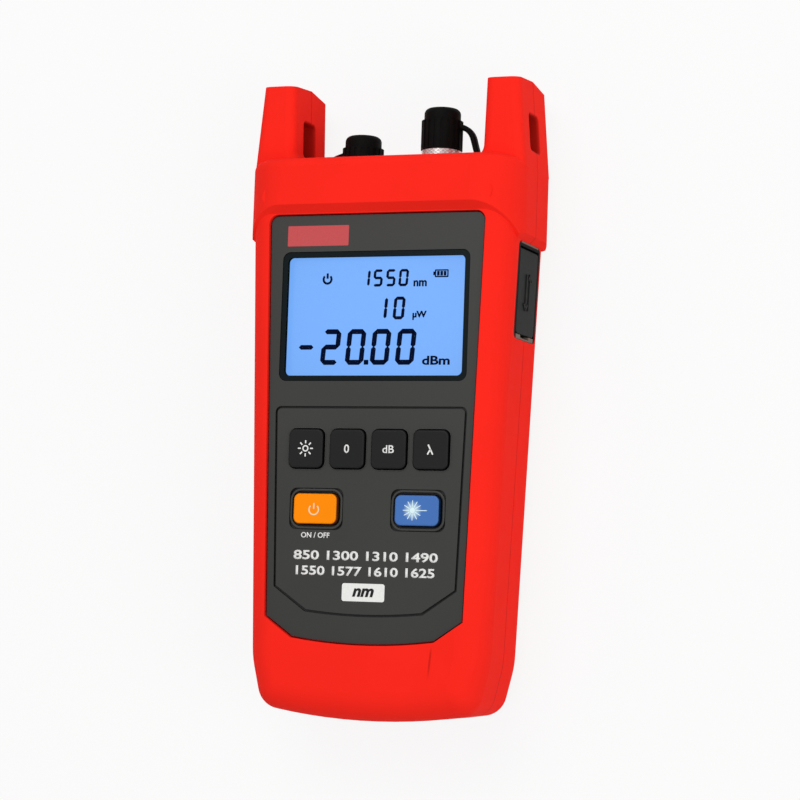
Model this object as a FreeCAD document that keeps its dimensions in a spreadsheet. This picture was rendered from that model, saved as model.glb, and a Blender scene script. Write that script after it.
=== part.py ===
import FreeCAD, Part
import os
import re
from math import cos, pi, sin

import Sketcher

# Handheld fibre optic tester, in millimetres.
# It lies on its back: X across the case, Y up the case towards the ports, Z out of the face.
# Levels are measured up the case from its lower end, and depths from its back.
SIZES = {
    # Case
    "case_length": 197.0,
    "drawn_length": 197.0,
    "case_depth": 40.0,
    "parting_depth": 19.5,
    "wall": 2.6,
    "waist_width": 86.0,
    "foot_width": 77.0,
    "foot_level": 20.0,
    "base_level": 18.0,
    "base_inset": 3.0,
    "base_round": 30.0,
    "bottom_bow": 3.4,
    "corner_round": 7.0,
    "front_round": 9.0,
    "back_round": 10.0,
    # Head: brow, shoulders and the deck that carries the ports
    "head_width": 89.4,
    "head_wall": 3.2,
    "shoulder_level": 148.0,
    "shoulder_step": 1.2,
    "brow_depth": 42.5,
    "brow_level": 157.0,
    "head_front_round": 14.0,
    "head_back_round": 10.0,
    "deck_level": 171.8,
    "deck_wall": 3.0,
    "deck_round": 3.0,
    # Ears
    "ear_gap": 62.0,
    "ear_draft": 0.5,
    "ear_tip_width": 10.7,
    "ear_depth": 27.8,
    "ear_ridge": 1.0,
    "ear_back_fall": 2.2,
    "ear_edge_round": 3.0,
    "ear_foot_round": 4.0,
    "slot_level": 180.6,
    "slot_height": 11.0,
    "slot_offset": 1.1,
    "slot_width": 8.7,
    "slot_corner_round": 1.2,
    "slot_edge_round": 0.9,
    # Fascia
    "rim_lip": 1.0,
    "fascia_thickness": 2.4,
    "fascia_top": 153.8,
    "fascia_top_width": 69.8,
    "fascia_low": 31.0,
    "fascia_low_width": 63.2,
    "fascia_foot": 25.0,
    "fascia_foot_width": 45.8,
    "fascia_bow": 1.7,
    "fascia_corner_round": 2.5,
    "ledge_width": 2.4,
    "ledge_thickness": 2.6,
    "fit_gap": 0.15,
    "rim_gap": 0.5,
    # Display
    "view_level": 122.7,
    "view_width": 57.9,
    "view_height": 36.6,
    "view_corner_round": 1.6,
    "view_margin": 0.9,
    "lens_border": 1.5,
    "lens_corner_round": 2.3,
    "lens_thickness": 1.2,
    "lens_sink": 0.3,
    "glass_border": 2.6,
    "glass_thickness": 2.8,
    "gasket_thickness": 0.4,
    "gasket_width": 1.2,
    # Keypad panel
    "panel_thickness": 1.0,
    "panel_groove": 0.75,
    "panel_top": 94.3,
    "panel_top_width": 60.9,
    "panel_low": 40.2,
    "panel_low_width": 57.9,
    "panel_foot": 33.2,
    "panel_foot_width": 37.4,
    "panel_bow": 1.1,
    "panel_corner_round": 1.2,
    # Keys
    "key_width": 11.3,
    "key_height": 11.9,
    "key_pitch": 13.52,
    "key_level": 82.0,
    "key_corner_round": 2.0,
    "wide_key_width": 14.2,
    "wide_key_height": 9.3,
    "wide_key_pitch": 33.0,
    "wide_key_level": 63.7,
    "wide_key_well": 1.4,
    "key_proud": 1.2,
    "key_top_round": 0.6,
    "key_gap": 0.3,
    "key_lip": 0.7,
    "key_lip_thickness": 1.2,
    "key_lip_gap": 0.1,
    "key_travel": 0.8,
    "key_stem_inset": 2.2,
    # Boards and mat
    "board_depth": 25.0,
    "board_thickness": 1.6,
    "board_width": 64.0,
    "board_low": 28.0,
    "board_high": 147.0,
    "board_tab_gap": 0.4,
    "board_tab_height": 16.0,
    "mat_thickness": 1.2,
    "mat_border": 1.6,
    "mat_pad": 2.4,
    "mat_pad_diameter": 6.0,
    "chip_thickness": 1.2,
    "chip_width": 10.0,
    "post_diameter": 6.0,
    "post_spacing": 57.0,
    "post_low": 36.0,
    "post_gap": 0.3,
    "board_screw_diameter": 2.2,
    "board_screw_head": 4.2,
    "board_screw_head_height": 1.5,
    "board_screw_length": 7.0,
    "pilot_gap": 0.05,
    # Case screws
    "boss_diameter": 7.0,
    "case_screw_diameter": 2.9,
    "case_screw_head": 5.6,
    "case_screw_head_height": 2.2,
    "case_screw_well": 8.0,
    "case_screw_length": 22.0,
    "low_screw_spacing": 54.0,
    "low_screw_level": 17.0,
    "high_screw_spacing": 68.0,
    "high_screw_level": 160.0,
    # Ports
    "port_pitch": 26.2,
    "port_neck": 11.0,
    "port_flange": 14.0,
    "port_flange_thickness": 1.5,
    "port_tail": 8.0,
    "port_tail_length": 5.0,
    "port_collar": 12.4,
    "port_barrel": 10.0,
    "port_key_width": 2.2,
    "port_key_depth": 1.2,
    "port_key_height": 3.0,
    "laser_collar_height": 4.4,
    "laser_barrel_height": 14.7,
    "detector_collar_height": 0.9,
    "detector_barrel_height": 6.8,
    "ferrule_bore": 2.5,
    "light_bore": 1.6,
    "sleeve_outer": 4.2,
    "sleeve_sink": 0.4,
    "sleeve_depth": 1.0,
    "laser_body": 9.0,
    "laser_body_length": 22.0,
    "detector_body": 12.0,
    "detector_body_length": 9.0,
    # Caps and tethers
    "cap_diameter": 13.0,
    "cap_neck": 11.4,
    "cap_neck_height": 4.0,
    "cap_roof": 2.8,
    "cap_round": 1.8,
    "cap_gap": 0.3,
    "cap_groove": 0.8,
    "cap_groove_depth": 0.25,
    "tether_width": 3.2,
    "tether_thickness": 1.7,
    "tether_drop": 6.0,
    "tether_lead": 0.8,
    "laser_tether_bend": 3.6,
    "detector_tether_bend": 3.0,
    "tether_lean": 12.0,
    "tether_gap": 0.1,
    "stud_diameter": 3.0,
    # Data socket and its door
    "door_level": 131.7,
    "door_height": 26.2,
    "door_width": 17.0,
    "door_thickness": 2.2,
    "door_corner_round": 1.6,
    "door_bead_land": 0.01,
    "door_gap": 0.3,
    "door_plug": 1.6,
    "door_plug_inset": 3.6,
    "door_pin_diameter": 1.2,
    "door_pin_length": 1.0,
    "frame_lip": 1.4,
    "frame_depth": 6.0,
    "frame_floor": 1.4,
    "frame_round": 2.0,
    "notch_width": 8.0,
    "socket_width": 7.7,
    "socket_height": 3.9,
    "socket_length": 9.0,
    "socket_wall": 0.45,
    "socket_tongue": 1.2,
    "socket_gap": 0.5,
    # Cells and their bay
    "cell_diameter": 14.2,
    "cell_length": 48.8,
    "cell_pitch": 15.0,
    "cell_nub_diameter": 5.4,
    "cell_nub_height": 1.4,
    "cell_gap": 0.3,
    "bay_low": 32.0,
    "bay_wall": 1.6,
    "contact_thickness": 0.4,
    "contact_width": 11.0,
    "contact_bump": 1.5,
    "contact_bump_diameter": 6.0,
    "spring_length": 6.0,
    "spring_diameter": 8.4,
    "spring_wire": 0.8,
    "spring_turns": 4.0,
    "battery_door_thickness": 2.4,
    "battery_door_border": 3.4,
    "battery_door_head": 12.0,
    "battery_door_round": 4.0,
    "battery_door_gap": 0.25,
    "battery_door_sill": 2.0,
    "seal_thickness": 0.8,
    "seal_width": 1.8,
    "door_screw_spacing": 32.0,
    "door_screw_rise": 6.6,
    "door_screw_diameter": 2.5,
    "door_screw_head": 5.0,
    "door_screw_head_height": 1.2,
    "door_screw_length": 9.0,
    "grip_rib_width": 1.2,
    "grip_rib_height": 0.5,
    "grip_rib_length": 18.0,
    "grip_rib_pitch": 3.0,
    "grip_rib_round": 0.4,
}

# Levels are drawn on a case of the drawn length, and keep their share of the case's length
LEVELS = (
    "foot_level", "base_level", "shoulder_level", "brow_level", "deck_level", "slot_level",
    "fascia_top", "fascia_low", "fascia_foot", "view_level", "panel_top", "panel_low", "panel_foot",
    "key_level", "wide_key_level", "board_low", "board_high", "post_low",
    "low_screw_level", "high_screw_level", "door_level", "bay_low",
)

CELL_COUNT = 3
GRIP_RIB_COUNT = 4
CAP_GROOVE_COUNT = 20
# A spring's straight runs in each turn, its wire's sides, and corners that meet in a mitre
COIL_RUNS = 12
WIRE_SIDES = 8
MITRED = 1
FLAT = 1e-6
# How much of an inset an outline takes at the ends and the middle of its cut lower corners
FOOT_SHARE = 0.6
CUT_SHARE = 0.5

doc = FreeCAD.newDocument("FibreTester")
sheet = doc.addObject("Spreadsheet::Sheet", "Sizes")
for row, (alias, size) in enumerate(SIZES.items(), start=1):
    sheet.set(f"A{row}", alias)
    sheet.set(f"B{row}", str(size))
    sheet.setAlias(f"B{row}", alias)
doc.recompute()

nodes = []


# Expressions


def reference(word):
    """What a name in an expression stands for: a level, another size, or itself."""
    name = word[0]
    if name in LEVELS:
        return f"(Sizes.{name} * Sizes.case_length / Sizes.drawn_length)"
    return f"Sizes.{name}" if name in SIZES else name


def bound(text):
    """An expression with each size's name turned into a reference to the sheet."""
    return re.sub(r"[a-z]\w+", reference, str(text))


def number(text):
    """The value that an expression has now."""
    value = sheet.evalExpression(bound(text))
    return float(getattr(value, "Value", value))


def side_at(level):
    """Half the body's width at a level up its tapered sides."""
    taper = "(waist_width - foot_width) / 2 / (shoulder_level - foot_level)"
    return f"(foot_width / 2 + ({level} - foot_level) * {taper})"


FASCIA_DEPTH = "(case_depth - rim_lip)"
FASCIA_BACK = f"({FASCIA_DEPTH} - fascia_thickness)"
LEDGE_BACK = f"({FASCIA_BACK} - ledge_thickness)"
PANEL_BACK = f"({FASCIA_DEPTH} - panel_thickness)"
LENS_DEPTH = f"({FASCIA_DEPTH} - lens_sink)"
GLASS_DEPTH = f"({FASCIA_BACK} - gasket_thickness)"
BOARD_FACE = "(board_depth + board_thickness)"
MAT_FACE = f"({BOARD_FACE} + mat_thickness)"
KEY_STEM_END = f"({MAT_FACE} + mat_pad + key_travel + key_gap)"
DECK_UNDER = "(deck_level - deck_wall)"
BAY_WIDTH = f"(cell_pitch * {CELL_COUNT} + cell_gap * 2)"
BAY_LENGTH = "(cell_length + cell_nub_height + contact_bump + spring_length + contact_thickness * 2)"
BAY_HIGH = f"(bay_low + {BAY_LENGTH})"
SILL_DEPTH = "(battery_door_thickness + seal_thickness)"
BAY_DEPTH = f"({SILL_DEPTH} + cell_diameter + cell_gap * 2)"
CELL_DEPTH = f"({BAY_DEPTH} - cell_gap - cell_diameter / 2)"


# Sketches and features


def draw_loop(sketch, corners):
    """A closed outline. A corner's third value is the radius of the arc that leaves it; "cw" turns right."""
    first = sketch.GeometryCount
    spots = [FreeCAD.Vector(number(corner[0]), number(corner[1]), 0) for corner in corners]
    starts = []
    ends = []
    for index, corner in enumerate(corners):
        here = spots[index]
        there = spots[(index + 1) % len(corners)]
        if len(corner) == 2:
            sketch.addGeometry(Part.LineSegment(here, there), False)
            starts.append(1)
            ends.append(2)
            continue
        clockwise = len(corner) == 4
        begin, finish = (there, here) if clockwise else (here, there)
        radius = number(corner[2])
        chord = finish - begin
        rise = max(radius ** 2 - (chord.Length / 2) ** 2, 0) ** 0.5
        centre = begin + chord / 2 + FreeCAD.Vector(-chord.y, chord.x, 0).normalize() * rise
        across = FreeCAD.Vector(1, 0, 0)
        up = FreeCAD.Vector(0, 0, 1)
        angles = [across.getAngle(spot - centre) * (1 if spot.y >= centre.y else -1)
                  for spot in (begin, finish)]
        circle = Part.Circle(centre, up, radius)
        sketch.addGeometry(Part.ArcOfCircle(circle, angles[0], angles[1]), False)
        key = sketch.addConstraint(Sketcher.Constraint("Radius", first + index, radius))
        sketch.setExpression(f"Constraints[{key}]", bound(corner[2]))
        starts.append(2 if clockwise else 1)
        ends.append(1 if clockwise else 2)
    for index, corner in enumerate(corners):
        after = (index + 1) % len(corners)
        joint = ("Coincident", first + index, ends[index], first + after, starts[after])
        sketch.addConstraint(Sketcher.Constraint(*joint))
        for way, text in (("DistanceX", corner[0]), ("DistanceY", corner[1])):
            place = (way, -1, 1, first + index, starts[index], number(text))
            key = sketch.addConstraint(Sketcher.Constraint(*place))
            sketch.setExpression(f"Constraints[{key}]", bound(text))


def draw_circle(sketch, x, y, diameter):
    """A circle of a given diameter."""
    index = sketch.GeometryCount
    centre = FreeCAD.Vector(number(x), number(y), 0)
    radius = f"({diameter}) / 2"
    sketch.addGeometry(Part.Circle(centre, FreeCAD.Vector(0, 0, 1), number(radius)), False)
    for constraint, text in (
        (("DistanceX", -1, 1, index, 3, number(x)), x),
        (("DistanceY", -1, 1, index, 3, number(y)), y),
        (("Radius", index, number(radius)), radius),
    ):
        key = sketch.addConstraint(Sketcher.Constraint(*constraint))
        sketch.setExpression(f"Constraints[{key}]", bound(text))


def rectangle(x, y, width, height, radius=None):
    """The corners of a rectangle round a centre, with rounded corners where a radius is given."""
    left, right = f"({x} - ({width}) / 2)", f"({x} + ({width}) / 2)"
    low, high = f"({y} - ({height}) / 2)", f"({y} + ({height}) / 2)"
    if radius is None:
        return [(left, low), (right, low), (right, high), (left, high)]
    return [
        (f"{left} + {radius}", low),
        (f"{right} - {radius}", low, radius),
        (right, f"{low} + {radius}"),
        (right, f"{high} - {radius}", radius),
        (f"{right} - {radius}", high),
        (f"{left} + {radius}", high, radius),
        (left, f"{high} - {radius}"),
        (left, f"{low} + {radius}", radius),
    ]


def between(left, right, low, high):
    """The corners of a rectangle given by its sides."""
    return [(left, low), (right, low), (right, high), (left, high)]


def mirrored(corners):
    """The whole outline of a piece that is the same on both sides, from its right half, low end first."""
    return corners + [(f"-({corner[0]})", corner[1]) for corner in reversed(corners)]


def new_body(name):
    return doc.addObject("PartDesign::Body", name)


def new_sketch(body, plane, offset, loops):
    """A sketch on one of the body's own planes, moved along that plane's normal."""
    sketch = body.newObject("Sketcher::SketchObject", f"{body.Name}_sketch")
    origin = [feature for feature in body.Origin.OriginFeatures if feature.Role == f"{plane}_Plane"]
    sketch.AttachmentSupport = [(origin[0], "")]
    sketch.MapMode = "FlatFace"
    sketch.setExpression("AttachmentOffset.Base.z", bound(offset))
    for loop in loops:
        if loop[0] == "circle":
            draw_circle(sketch, *loop[1:])
        else:
            draw_loop(sketch, loop)
    return sketch


def pad(body, plane, start, end, *loops):
    """Adds outlines drawn on a plane, filled from start to end along the row's own axis."""
    offset = f"-({end})" if plane == "XZ" else start
    feature = body.newObject("PartDesign::Pad", f"{body.Name}_pad")
    feature.Profile = new_sketch(body, plane, offset, loops)
    feature.setExpression("Length", bound(f"({end}) - ({start})"))
    doc.recompute()
    return feature


def pocket(body, plane, start, end, *loops):
    """Cuts outlines drawn on a plane from start to end along the row's own axis."""
    before = body.Tip.Shape.Volume
    offset = f"-({start})" if plane == "XZ" else end
    feature = body.newObject("PartDesign::Pocket", f"{body.Name}_pocket")
    feature.Profile = new_sketch(body, plane, offset, loops)
    feature.setExpression("Length", bound(f"({end}) - ({start})"))
    doc.recompute()
    if not feature.Shape.Volume < before:
        raise RuntimeError(f"{feature.Name} cuts nothing")
    return feature


def fillet(body, radius, chosen):
    """Rounds those edges of the body that chosen() accepts."""
    base = body.Tip
    names = [f"Edge{index}" for index, edge in enumerate(base.Shape.Edges, start=1) if chosen(edge)]
    if not names:
        raise RuntimeError(f"no edge to round on {body.Name}")
    feature = body.newObject("PartDesign::Fillet", f"{body.Name}_fillet")
    feature.Base = (base, names)
    feature.setExpression("Radius", bound(radius))
    doc.recompute()
    return feature


def prism(name, plane, start, end, *loops):
    """A body with one padded sketch."""
    body = new_body(name)
    pad(body, plane, start, end, *loops)
    return body


def turned(name, corners):
    """A body turned about its own Y axis from an outline of radii and levels."""
    body = new_body(name)
    feature = body.newObject("PartDesign::Revolution", f"{name}_turn")
    sketch = new_sketch(body, "XY", "0", [corners])
    feature.Profile = sketch
    feature.ReferenceAxis = (sketch, ["V_Axis"])
    feature.Angle = 360
    doc.recompute()
    return body


def steps(*stations):
    """The outline of a stepped shaft: pairs of a diameter and the level where that diameter ends."""
    corners = [("0", stations[0][1])]
    for (diameter, level), (_, begin) in zip(stations[1:], stations):
        corners += [(f"({diameter}) / 2", begin), (f"({diameter}) / 2", level)]
    return corners + [("0", stations[-1][1])]


def along(edge, axis):
    """True where an edge is straight and runs along a row axis."""
    spots = [vertex.Point for vertex in edge.Vertexes]
    if len(spots) != 2 or edge.Curve.TypeId != "Part::GeomLine":
        return False
    run = (spots[1] - spots[0]).normalize()
    return abs(abs(run[axis]) - 1) < FLAT


def flat_at(edge, axis, text):
    """True where the whole edge lies at one place along a row axis."""
    level = number(text)
    spots = [vertex.Point[axis] for vertex in edge.Vertexes] + [edge.CenterOfMass[axis]]
    return all(abs(spot - level) < FLAT for spot in spots)


def rod(name, diameter, x, y, z, length, axis):
    """A cylinder from a point along a row axis."""
    solid = doc.addObject("Part::Cylinder", name)
    solid.setExpression("Radius", bound(f"({diameter}) / 2"))
    solid.setExpression("Height", bound(length))
    for way, text in (("x", x), ("y", y), ("z", z)):
        solid.setExpression(f"Placement.Base.{way}", bound(text))
    turns = {"Y": (FreeCAD.Vector(1, 0, 0), -90), "Z": (FreeCAD.Vector(0, 0, 1), 0)}
    solid.Placement.Rotation = FreeCAD.Rotation(*turns[axis])
    return solid


def fuse(name, *solids):
    joined = doc.addObject("Part::MultiFuse", name)
    joined.Shapes = list(solids)
    joined.Refine = True
    doc.recompute()
    return joined


def cut(name, base, *tools):
    """A solid less its tools."""
    less = doc.addObject("Part::Cut", name)
    less.Base = base
    less.Tool = tools[0] if len(tools) == 1 else fuse(f"{name}_tools", *tools)
    less.Refine = True
    doc.recompute()
    if not less.Shape.Volume < base.Shape.Volume:
        raise RuntimeError(f"{name} cuts nothing")
    return less


def common(name, *solids):
    shared = doc.addObject("Part::MultiCommon", name)
    shared.Shapes = list(solids)
    shared.Refine = True
    doc.recompute()
    return shared


def group(name, *solids):
    """Like pieces kept apart in one node."""
    together = doc.addObject("Part::Compound", name)
    together.Links = list(solids)
    doc.recompute()
    return together


def node(solid, label, x="0", y="0", z="0", turn=None):
    """Labels a finished sub-part and puts it in the row's frame, whose origin is under the case's middle."""
    solid.Label = label
    place_at(solid, x, f"{y} - case_length / 2", z, turn)
    nodes.append(solid)


def place_at(solid, x, y, z, turn=None):
    """Binds a solid's Placement, turned about Z where an angle is given."""
    if turn is not None:
        solid.Placement.Rotation = FreeCAD.Rotation(FreeCAD.Vector(0, 0, 1), number(turn))
        solid.setExpression("Placement.Rotation.Angle", bound(turn))
    for way, text in (("x", x), ("y", y), ("z", z)):
        solid.setExpression(f"Placement.Base.{way}", bound(text))


SIDES = (("left", "-"), ("right", ""))
SCREW_SPOTS = [
    (f"{level}_{side}", f"{sign}{level}_screw_spacing / 2", f"{level}_screw_level")
    for level in ("low", "high")
    for side, sign in SIDES
]
POST_HIGH = "(view_level - view_height / 2 - glass_border - board_screw_head / 2 - post_gap)"
POST_SPOTS = [
    (f"{name}_{side}", f"{sign}post_spacing / 2", level)
    for name, level in (("low", "post_low"), ("high", POST_HIGH))
    for side, sign in SIDES
]
PORTS = {"detector": "-port_pitch / 2", "laser": "port_pitch / 2"}


# Case form


def body_outline(inset, top):
    """The tapered body seen from the front, drawn in from its outside by an inset."""
    low = f"(bottom_bow + {inset})"
    foot = f"({side_at('bottom_bow')} - base_inset - {inset})"
    base = f"({side_at('base_level')} - {inset})"
    shoulder = f"({side_at(top)} - {inset})"
    bow = f"({foot}^2 + bottom_bow^2) / (2 * bottom_bow)"
    return [
        (f"-{foot}", low, bow), (foot, low), (base, "base_level"), (shoulder, top),
        (f"-{shoulder}", top), (f"-{base}", "base_level"),
    ]


def low_corner(edge):
    """Whether an edge is one of the two corners at the body's lower end."""
    return along(edge, 2) and edge.CenterOfMass.y < number("base_level") / 2


def make_case_form():
    """The outside of both shells: tapered body, head and two ears."""
    block_top = "(deck_level - deck_round - ear_foot_round)"
    block = prism("case_block", "XY", "0", "case_depth", body_outline("0", block_top))
    fillet(block, "corner_round", low_corner)
    base = number("base_level")
    fillet(block, "base_round", lambda edge: along(edge, 2) and abs(edge.CenterOfMass.y - base) < FLAT)
    for radius, depth in (("front_round", "case_depth"), ("back_round", "0")):
        fillet(block, radius, lambda edge: flat_at(edge, 2, depth) and not flat_at(edge, 1, block_top))

    side = "head_width / 2"
    section_low = "(shoulder_level - shoulder_step)"
    plan = prism("head_plan", "XY", "0", "brow_depth", mirrored([
        (side_at("shoulder_level"), section_low),
        (side, "shoulder_level + shoulder_step / 2"),
        (side, "deck_level"),
    ]))
    section = prism("head_section", "XZ", section_low, "deck_level",
                    rectangle("0", "brow_depth / 2", "head_width", "brow_depth"))
    for radius, depth in (("head_front_round", "brow_depth"), ("head_back_round", "0")):
        fillet(section, radius, lambda edge: along(edge, 1) and flat_at(edge, 2, depth))
    fillet(section, "deck_round", lambda edge: flat_at(edge, 1, "deck_level"))
    bevel_fall = f"(brow_level - {section_low} + wall)"
    pocket(section, "YZ", "-head_width", "head_width", [
        (f"{section_low} - wall", f"brow_depth - {bevel_fall}"),
        ("brow_level + wall", "brow_depth + wall"),
        (f"{section_low} - wall", "brow_depth + wall"),
    ])
    head = common("head", plan, section)

    ear = make_ear()
    twin = doc.addObject("Part::Mirroring", "ear_twin")
    twin.Source = ear
    twin.Normal = FreeCAD.Vector(1, 0, 0)
    doc.recompute()
    return fuse("case_form", block, head, ear, twin)


def make_ear():
    """The right ear: drafted, ridged along the parting line, with a slot for a strap."""
    root = "(deck_level - deck_round)"
    inner = "ear_gap / 2"
    tip = "(ear_gap / 2 + ear_draft)"
    back, front = "(parting_depth - ear_depth / 2)", "(parting_depth + ear_depth / 2)"
    ear = prism("ear", "XY", back, front, [
        (f"{inner} - ear_foot_round", root),
        ("head_width / 2", root),
        (f"{tip} + ear_tip_width", "case_length"),
        (tip, "case_length"),
        (inner, "deck_level + ear_foot_round", "ear_foot_round", "cw"),
        (f"{inner} - ear_foot_round", "deck_level"),
    ])
    root_level, top_level = number(root), number("case_length")
    toe = number(f"{inner} - ear_foot_round")

    def long_edge(edge):
        middle = edge.CenterOfMass
        ends = root_level + FLAT < middle.y < top_level - FLAT
        return ends and middle.x > toe + FLAT and (flat_at(edge, 2, back) or flat_at(edge, 2, front))

    fillet(ear, "ear_edge_round", long_edge)
    reach = "(ear_depth / 2 + wall)"
    front_top = f"case_length - ear_ridge / (ear_depth / 2) * {reach}"
    back_top = f"case_length - ear_back_fall / (ear_depth / 2) * {reach}"
    pocket(ear, "YZ", "0", "head_width",
           [("case_length", "parting_depth"), ("case_length + wall", f"parting_depth + {reach}"),
            (front_top, f"parting_depth + {reach}")],
           [("case_length", "parting_depth"), (back_top, f"parting_depth - {reach}"),
            ("case_length + wall", f"parting_depth - {reach}")])
    slot_depth = "(parting_depth + slot_offset)"
    pocket(ear, "YZ", "0", "head_width", rectangle(
        "slot_level", slot_depth, "slot_height", "slot_width", "slot_corner_round"))

    def slot_rim(edge):
        middle = edge.CenterOfMass
        inside = abs(middle.y - number("slot_level")) < number("slot_height / 2") + FLAT
        near = abs(middle.z - number(slot_depth)) < number("slot_width / 2") + FLAT
        return inside and near and not along(edge, 0)

    fillet(ear, "slot_edge_round", slot_rim)
    return ear


def make_case_core():
    """The hollow inside both shells."""
    core = prism("body_core", "XY", "wall", LEDGE_BACK, body_outline("wall", DECK_UNDER))
    fillet(core, "corner_round - wall", low_corner)
    fillet(core, "back_round - wall",
           lambda edge: flat_at(edge, 2, "wall") and not flat_at(edge, 1, DECK_UNDER))
    head_core = prism("head_core", "XZ", "fascia_top + rim_gap + wall", DECK_UNDER,
                      rectangle("0", "brow_depth / 2", "head_width - 2 * head_wall", "brow_depth - 2 * wall",
                                "(head_front_round - wall)"))
    return fuse("case_core", core, head_core)


# Fascia, panel and display


def fascia_outline(inset):
    """The fascia's outline, drawn in by an inset: straight sides, cut lower corners and a bowed foot."""
    foot = f"(fascia_foot_width / 2 - {inset} * {FOOT_SHARE})"
    bow = f"({foot}^2 + fascia_bow^2) / (2 * fascia_bow)"
    return [
        (f"-{foot}", f"fascia_foot + {inset}", bow),
        (foot, f"fascia_foot + {inset}"),
        (f"fascia_low_width / 2 - {inset}", f"fascia_low + {inset} * {CUT_SHARE}"),
        (f"fascia_top_width / 2 - {inset}", f"fascia_top - {inset}"),
        (f"-(fascia_top_width / 2 - {inset})", f"fascia_top - {inset}"),
        (f"-(fascia_low_width / 2 - {inset})", f"fascia_low + {inset} * {CUT_SHARE}"),
    ]


def panel_outline(grow):
    """The keypad panel's outline, drawn out by grow."""
    foot = f"(panel_foot_width / 2 + {grow} * {FOOT_SHARE})"
    bow = f"({foot}^2 + panel_bow^2) / (2 * panel_bow)"
    side, top = f"(panel_top_width / 2 + {grow})", f"(panel_top + {grow})"
    bend = f"(panel_corner_round + {grow})"
    return [
        (f"-{foot}", f"panel_foot - {grow}", bow),
        (foot, f"panel_foot - {grow}"),
        (f"panel_low_width / 2 + {grow}", f"panel_low - {grow} * {CUT_SHARE}"),
        (side, f"{top} - {bend}", bend),
        (f"{side} - {bend}", top),
        (f"-({side} - {bend})", top, bend),
        (f"-{side}", f"{top} - {bend}"),
        (f"-(panel_low_width / 2 + {grow})", f"panel_low - {grow} * {CUT_SHARE}"),
    ]


SMALL_KEYS = {f"key_{name}": f"key_pitch * ({index} - 1.5)" for index, name in
              enumerate(("lamp", "zero", "decibel", "wavelength"))}
WIDE_KEYS = {"key_power": "-wide_key_pitch / 2", "key_laser": "wide_key_pitch / 2"}


def key_outlines(grow, well="0"):
    """Every key's outline, drawn out by grow, and by the well round the wide keys."""
    loops = [rectangle(x, "key_level", f"key_width + 2 * {grow}", f"key_height + 2 * {grow}",
                       f"(key_corner_round + {grow})") for x in SMALL_KEYS.values()]
    wide = f"({grow} + {well})"
    return loops + [rectangle(x, "wide_key_level", f"wide_key_width + 2 * {wide}",
                              f"wide_key_height + 2 * {wide}", f"(key_corner_round + {grow})")
                    for x in WIDE_KEYS.values()]


def view_rectangle(border, radius=None):
    return rectangle("0", "view_level", f"view_width + 2 * {border}", f"view_height + 2 * {border}", radius)


def top_corner(edge):
    """Whether an edge is one of the fascia's two upper corners."""
    return along(edge, 2) and edge.CenterOfMass.y > number("view_level")


def make_face():
    """The fascia with its panel, lens, display and backlight."""
    fascia = prism("fascia_body", "XY", FASCIA_BACK, FASCIA_DEPTH, fascia_outline("0"))
    fillet(fascia, "fascia_corner_round", top_corner)
    lens_back = f"({LENS_DEPTH} - lens_thickness)"
    pocket(fascia, "XY", lens_back, FASCIA_DEPTH, view_rectangle("(lens_border + fit_gap)",
                                                                    "(lens_corner_round + fit_gap)"))
    pocket(fascia, "XY", FASCIA_BACK, lens_back, view_rectangle("view_margin", "view_corner_round"))
    pocket(fascia, "XY", PANEL_BACK, FASCIA_DEPTH, panel_outline("panel_groove"))
    pocket(fascia, "XY", FASCIA_BACK, PANEL_BACK, *key_outlines("key_gap"))
    node(fascia, "fascia")

    panel = prism("panel_body", "XY", PANEL_BACK, FASCIA_DEPTH, panel_outline("0"))
    pocket(panel, "XY", PANEL_BACK, FASCIA_DEPTH, *key_outlines("key_gap", "wide_key_well"))
    node(panel, "keypad_panel")

    node(prism("lens_body", "XY", lens_back, LENS_DEPTH, view_rectangle("lens_border", "lens_corner_round")),
         "display_lens")
    gasket = prism("gasket_body", "XY", GLASS_DEPTH, FASCIA_BACK, view_rectangle("glass_border"))
    pocket(gasket, "XY", GLASS_DEPTH, FASCIA_BACK, view_rectangle("(glass_border - gasket_width)"))
    node(gasket, "display_gasket")
    glass_back = f"({GLASS_DEPTH} - glass_thickness)"
    node(prism("glass_body", "XY", glass_back, GLASS_DEPTH, view_rectangle("glass_border")), "display_glass")
    node(prism("backlight_body", "XY", BOARD_FACE, glass_back, view_rectangle("glass_border")), "backlight")


# Keys and the mat under them


def make_key(label, x, level, width, height):
    """A key cap with a lip that stops it under the fascia and a stem down to the mat."""
    top = f"({FASCIA_DEPTH} + key_proud)"
    lip_face = f"({FASCIA_BACK} - key_lip_gap)"
    lip_back = f"({lip_face} - key_lip_thickness)"
    key = new_body(f"{label}_body")
    pad(key, "XY", lip_back, top, rectangle(x, level, width, height, "key_corner_round"))
    fillet(key, "key_top_round", lambda edge: flat_at(edge, 2, top))
    pad(key, "XY", lip_back, lip_face,
        rectangle(x, level, f"{width} + 2 * key_lip", f"{height} + 2 * key_lip",
                  "(key_corner_round + key_lip)"))
    pad(key, "XY", KEY_STEM_END, lip_back,
        rectangle(x, level, f"{width} - 2 * key_stem_inset", f"{height} - 2 * key_stem_inset"))
    node(key, label)


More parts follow.
